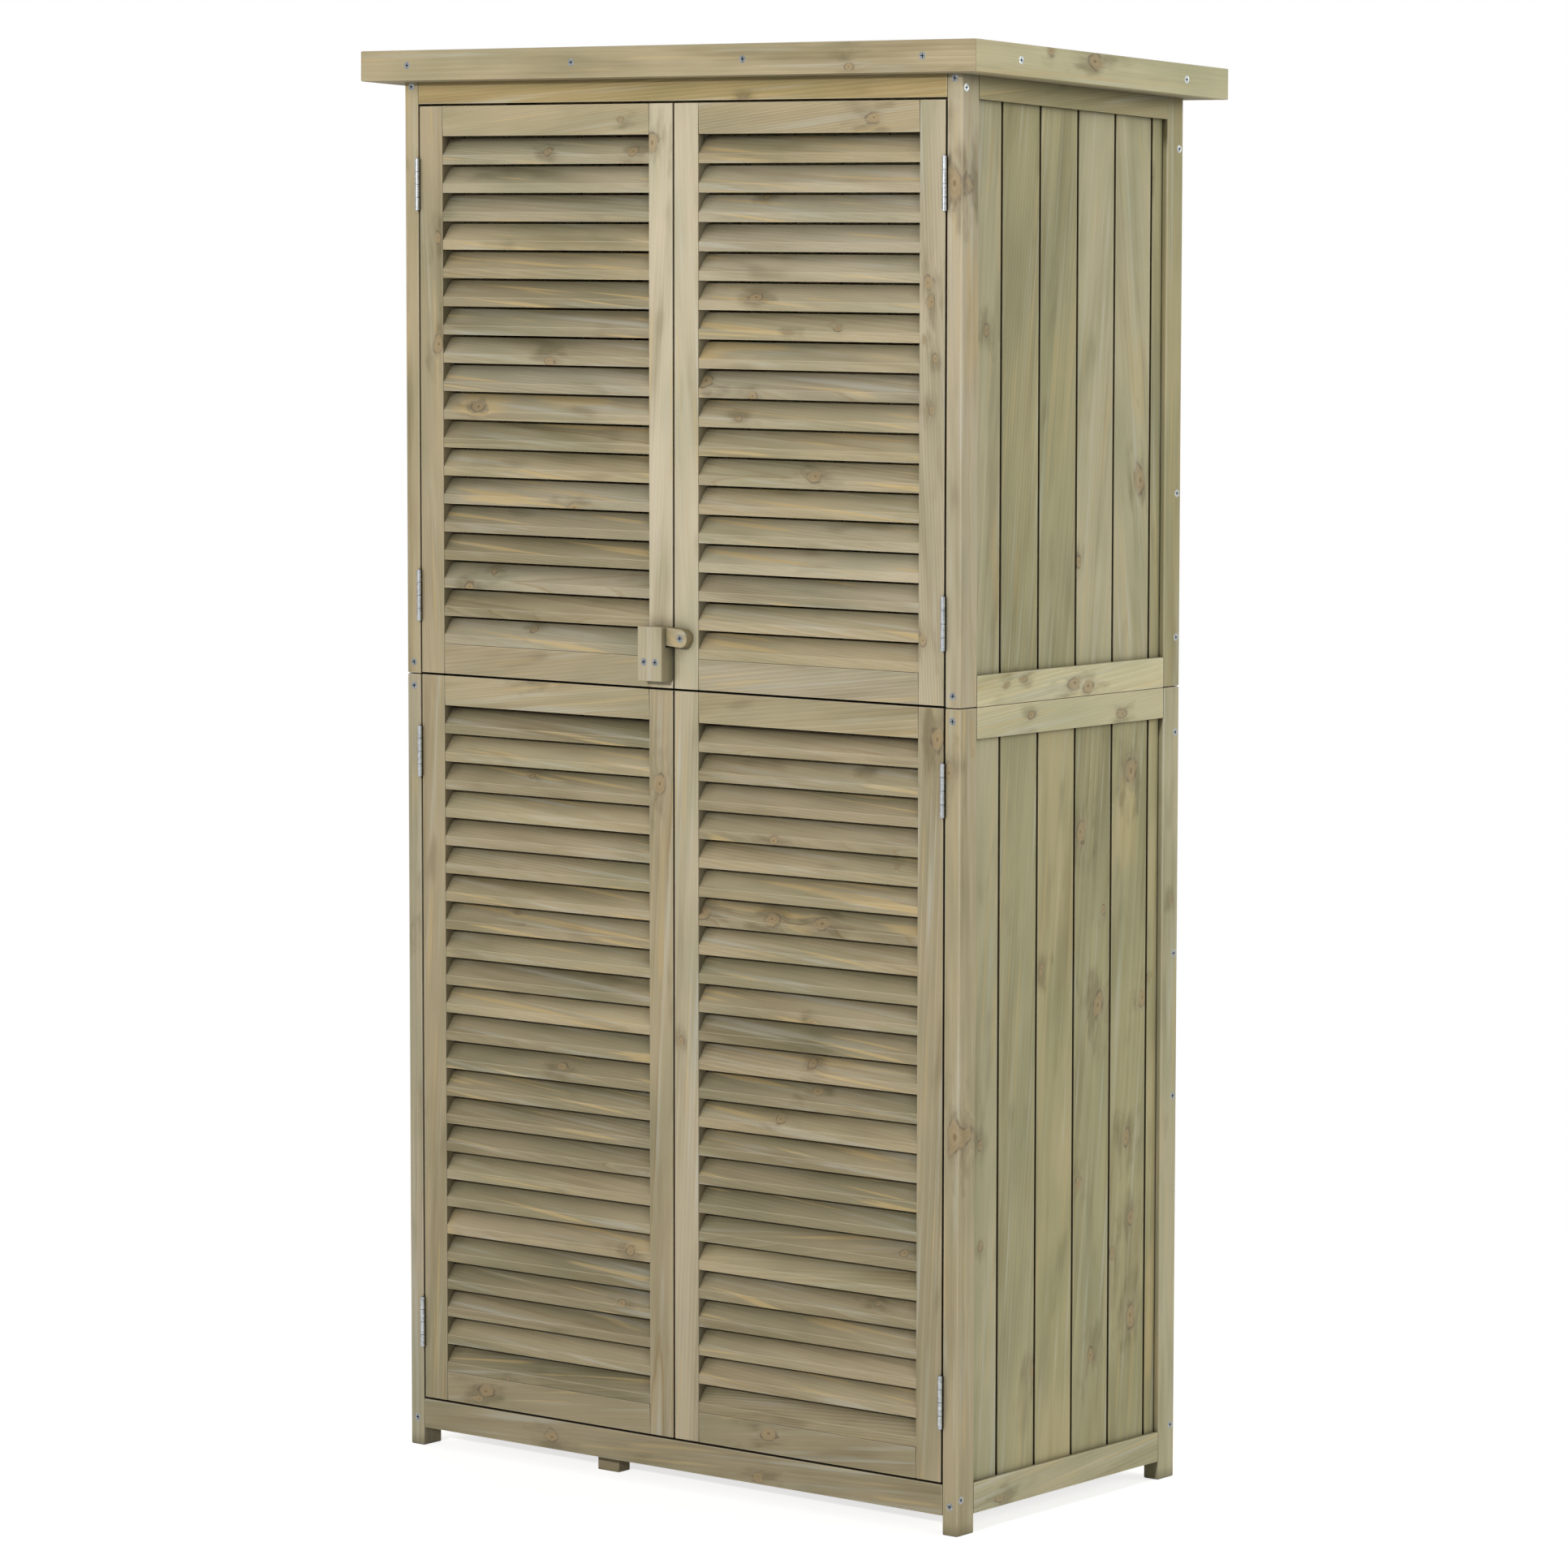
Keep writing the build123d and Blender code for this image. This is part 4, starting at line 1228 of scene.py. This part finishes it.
@dataclass
class Studio:
    """A pale floor, soft light and a camera at the photo's angle."""

    floor_half: float = 40.0      # metres
    floor_colour: str = "#DCDCDA"
    floor_glow: float = 0.72      # what the camera sees over the floor's own light, so that it is white
    shadow_near: float = 0.8      # metres from the middle where the floor's shadow starts to fade to white
    shadow_far: float = 2.0
    horizon: float = 0.45         # strength of the sky
    zenith: float = 0.16
    sky_top: float = 0.8          # how far up it is as dim as overhead
    suns: tuple[Sun, ...] = (
        Sun(122, 10, 1.95, 50, "#FDFFFA"),
        Sun(215, 25, 1.1, 70, "#FFFFFF"),
    )
    key: Key = Key()
    camera_place: tuple[float, float, float] = (4.19132, -5.25703, 1.42240)
    yaw: float = 38.6033
    pitch: float = 5.4966
    roll: float = 0.0612
    focal: float = 137.138        # millimetres
    sensor: float = 36.0
    view_end: float = 100.0       # metres

    def build(self) -> None:
        """Builds the floor, the sky, the lamps and the camera."""
        self.lay_floor()
        self.light_sky()
        for number, sun in enumerate(self.suns):
            self.hang_sun(number, sun)
        self.hang_key()
        self.set_camera()
        bpy.context.scene.view_settings.view_transform = "Standard"

    def seen(self, add: AddNode) -> bpy.types.Node:
        """Adds a mask that is 1 for what the camera sees, itself or in metal or glass.

        Args:
            add: The graph's way to add a node.
        Returns:
            The node of the mask.
        """
        path = add("LightPath").outputs
        mirrored = add("Math", path["Is Glossy Ray"], path["Is Transmission Ray"], operation="MAXIMUM")
        return add("Math", path["Is Camera Ray"], mirrored, operation="MAXIMUM")

    def lay_floor(self) -> None:
        """Lays the floor, which keeps the shed's shadow and fades to white away from it."""
        mesh = bpy.data.meshes.new("studio_floor")
        half = self.floor_half
        corners = [(-half, -half, 0), (half, -half, 0), (half, half, 0), (-half, half, 0)]
        mesh.from_pydata(corners, [], [(0, 1, 2, 3)])
        floor = bpy.data.objects.new("studio_floor", mesh)
        bpy.context.scene.collection.objects.link(floor)
        material, graph = new_material("matt_white_floor_paint")
        add = graph.add
        matt = add("BsdfDiffuse", linear(self.floor_colour))
        glow = add("Emission", WHITE, self.floor_glow)
        lifted = add("AddShader", matt, glow)
        white = add("Emission", WHITE, 1.0)
        distance = add("VectorMath", add("TexCoord").outputs["Object"], operation="LENGTH").outputs["Value"]
        away = add("MapRange", distance, self.shadow_near, self.shadow_far, 0.0, 1.0, **SMOOTH)
        shown = add("MixShader", away, lifted, white)
        add("OutputMaterial", add("MixShader", self.seen(add), matt, shown))
        mesh.materials.append(material)
        floor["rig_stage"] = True

    def light_sky(self) -> None:
        """Makes a sky that lights mostly from the sides, as softboxes do, and is white where it is seen."""
        world = bpy.data.worlds.new("studio_sky")
        bpy.context.scene.world = world
        world.use_nodes = True
        add = Graph(world.node_tree).add
        height = add("SeparateXYZ", add("TexCoord").outputs["Generated"]).outputs["Z"]
        strength = add("MapRange", height, 0.0, self.sky_top, self.horizon, self.zenith)
        soft = add("Background", WHITE, strength)
        white = add("Background", WHITE, 1.0)
        add("OutputWorld", add("MixShader", self.seen(add), soft, white))

    def hang_sun(self, number: int, sun: Sun) -> None:
        """Hangs one lamp.

        Args:
            number: The lamp's number.
            sun: Where and how it shines.
        """
        lamp = bpy.data.lights.new(f"soft_lamp_{number}", "SUN")
        lamp.energy = sun.strength
        lamp.angle = math.radians(sun.width)
        lamp.color = linear(sun.colour)[:3]
        azimuth, height = math.radians(sun.azimuth), math.radians(sun.height)
        level = math.cos(height)
        towards = Vector((math.sin(azimuth) * level, -math.cos(azimuth) * level, math.sin(height)))
        holder = bpy.data.objects.new(lamp.name, lamp)
        holder.rotation_mode = "QUATERNION"
        holder.rotation_quaternion = towards.to_track_quat("Z", "Y")
        bpy.context.scene.collection.objects.link(holder)

    def hang_key(self) -> None:
        """Hangs the main lamp."""
        key = self.key
        lamp = bpy.data.lights.new("key_lamp", "POINT")
        lamp.energy = key.watts
        lamp.shadow_soft_size = key.radius
        azimuth = math.radians(key.azimuth)
        holder = bpy.data.objects.new(lamp.name, lamp)
        holder.location = (key.distance * math.sin(azimuth), -key.distance * math.cos(azimuth), key.height)
        bpy.context.scene.collection.objects.link(holder)

    def set_camera(self) -> None:
        """Sets the camera where the photo was taken from."""
        yaw, pitch, roll = (math.radians(angle) for angle in (self.yaw, self.pitch, self.roll))
        ahead = Vector((-math.sin(yaw) * math.cos(pitch), math.cos(yaw) * math.cos(pitch), -math.sin(pitch)))
        level = Vector((math.cos(yaw), math.sin(yaw), 0))
        upright = level.cross(ahead)
        right = math.cos(roll) * level + math.sin(roll) * upright
        up = math.cos(roll) * upright - math.sin(roll) * level
        data = bpy.data.cameras.new("photo_camera")
        data.lens = self.focal
        data.sensor_width = self.sensor
        data.sensor_fit = "HORIZONTAL"
        data.clip_end = self.view_end
        camera = bpy.data.objects.new("photo_camera", data)
        turned = Matrix((right, up, -ahead)).transposed().to_4x4()
        camera.matrix_world = Matrix.Translation(self.camera_place) @ turned
        bpy.context.scene.collection.objects.link(camera)
        bpy.context.scene.camera = camera


def main() -> None:
    """Builds the shed's looks in order."""
    logging.basicConfig(level=logging.INFO, format="%(name)s: %(message)s")
    shop = Workshop()
    doors = [Door(f"{level}_{side}_door") for level in ("upper", "lower") for side in ("left", "right")]
    for part in (Carcass(), Roof(), *doors, Latch()):
        part.build(shop)
        part.dress(shop)
    Studio().build()
    boxes = {"cad": CAD_BOX, "visual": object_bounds()}
    {name: [list(corner) for corner in box] for name, box in boxes.items()}


if __name__ == "__main__":
    main()
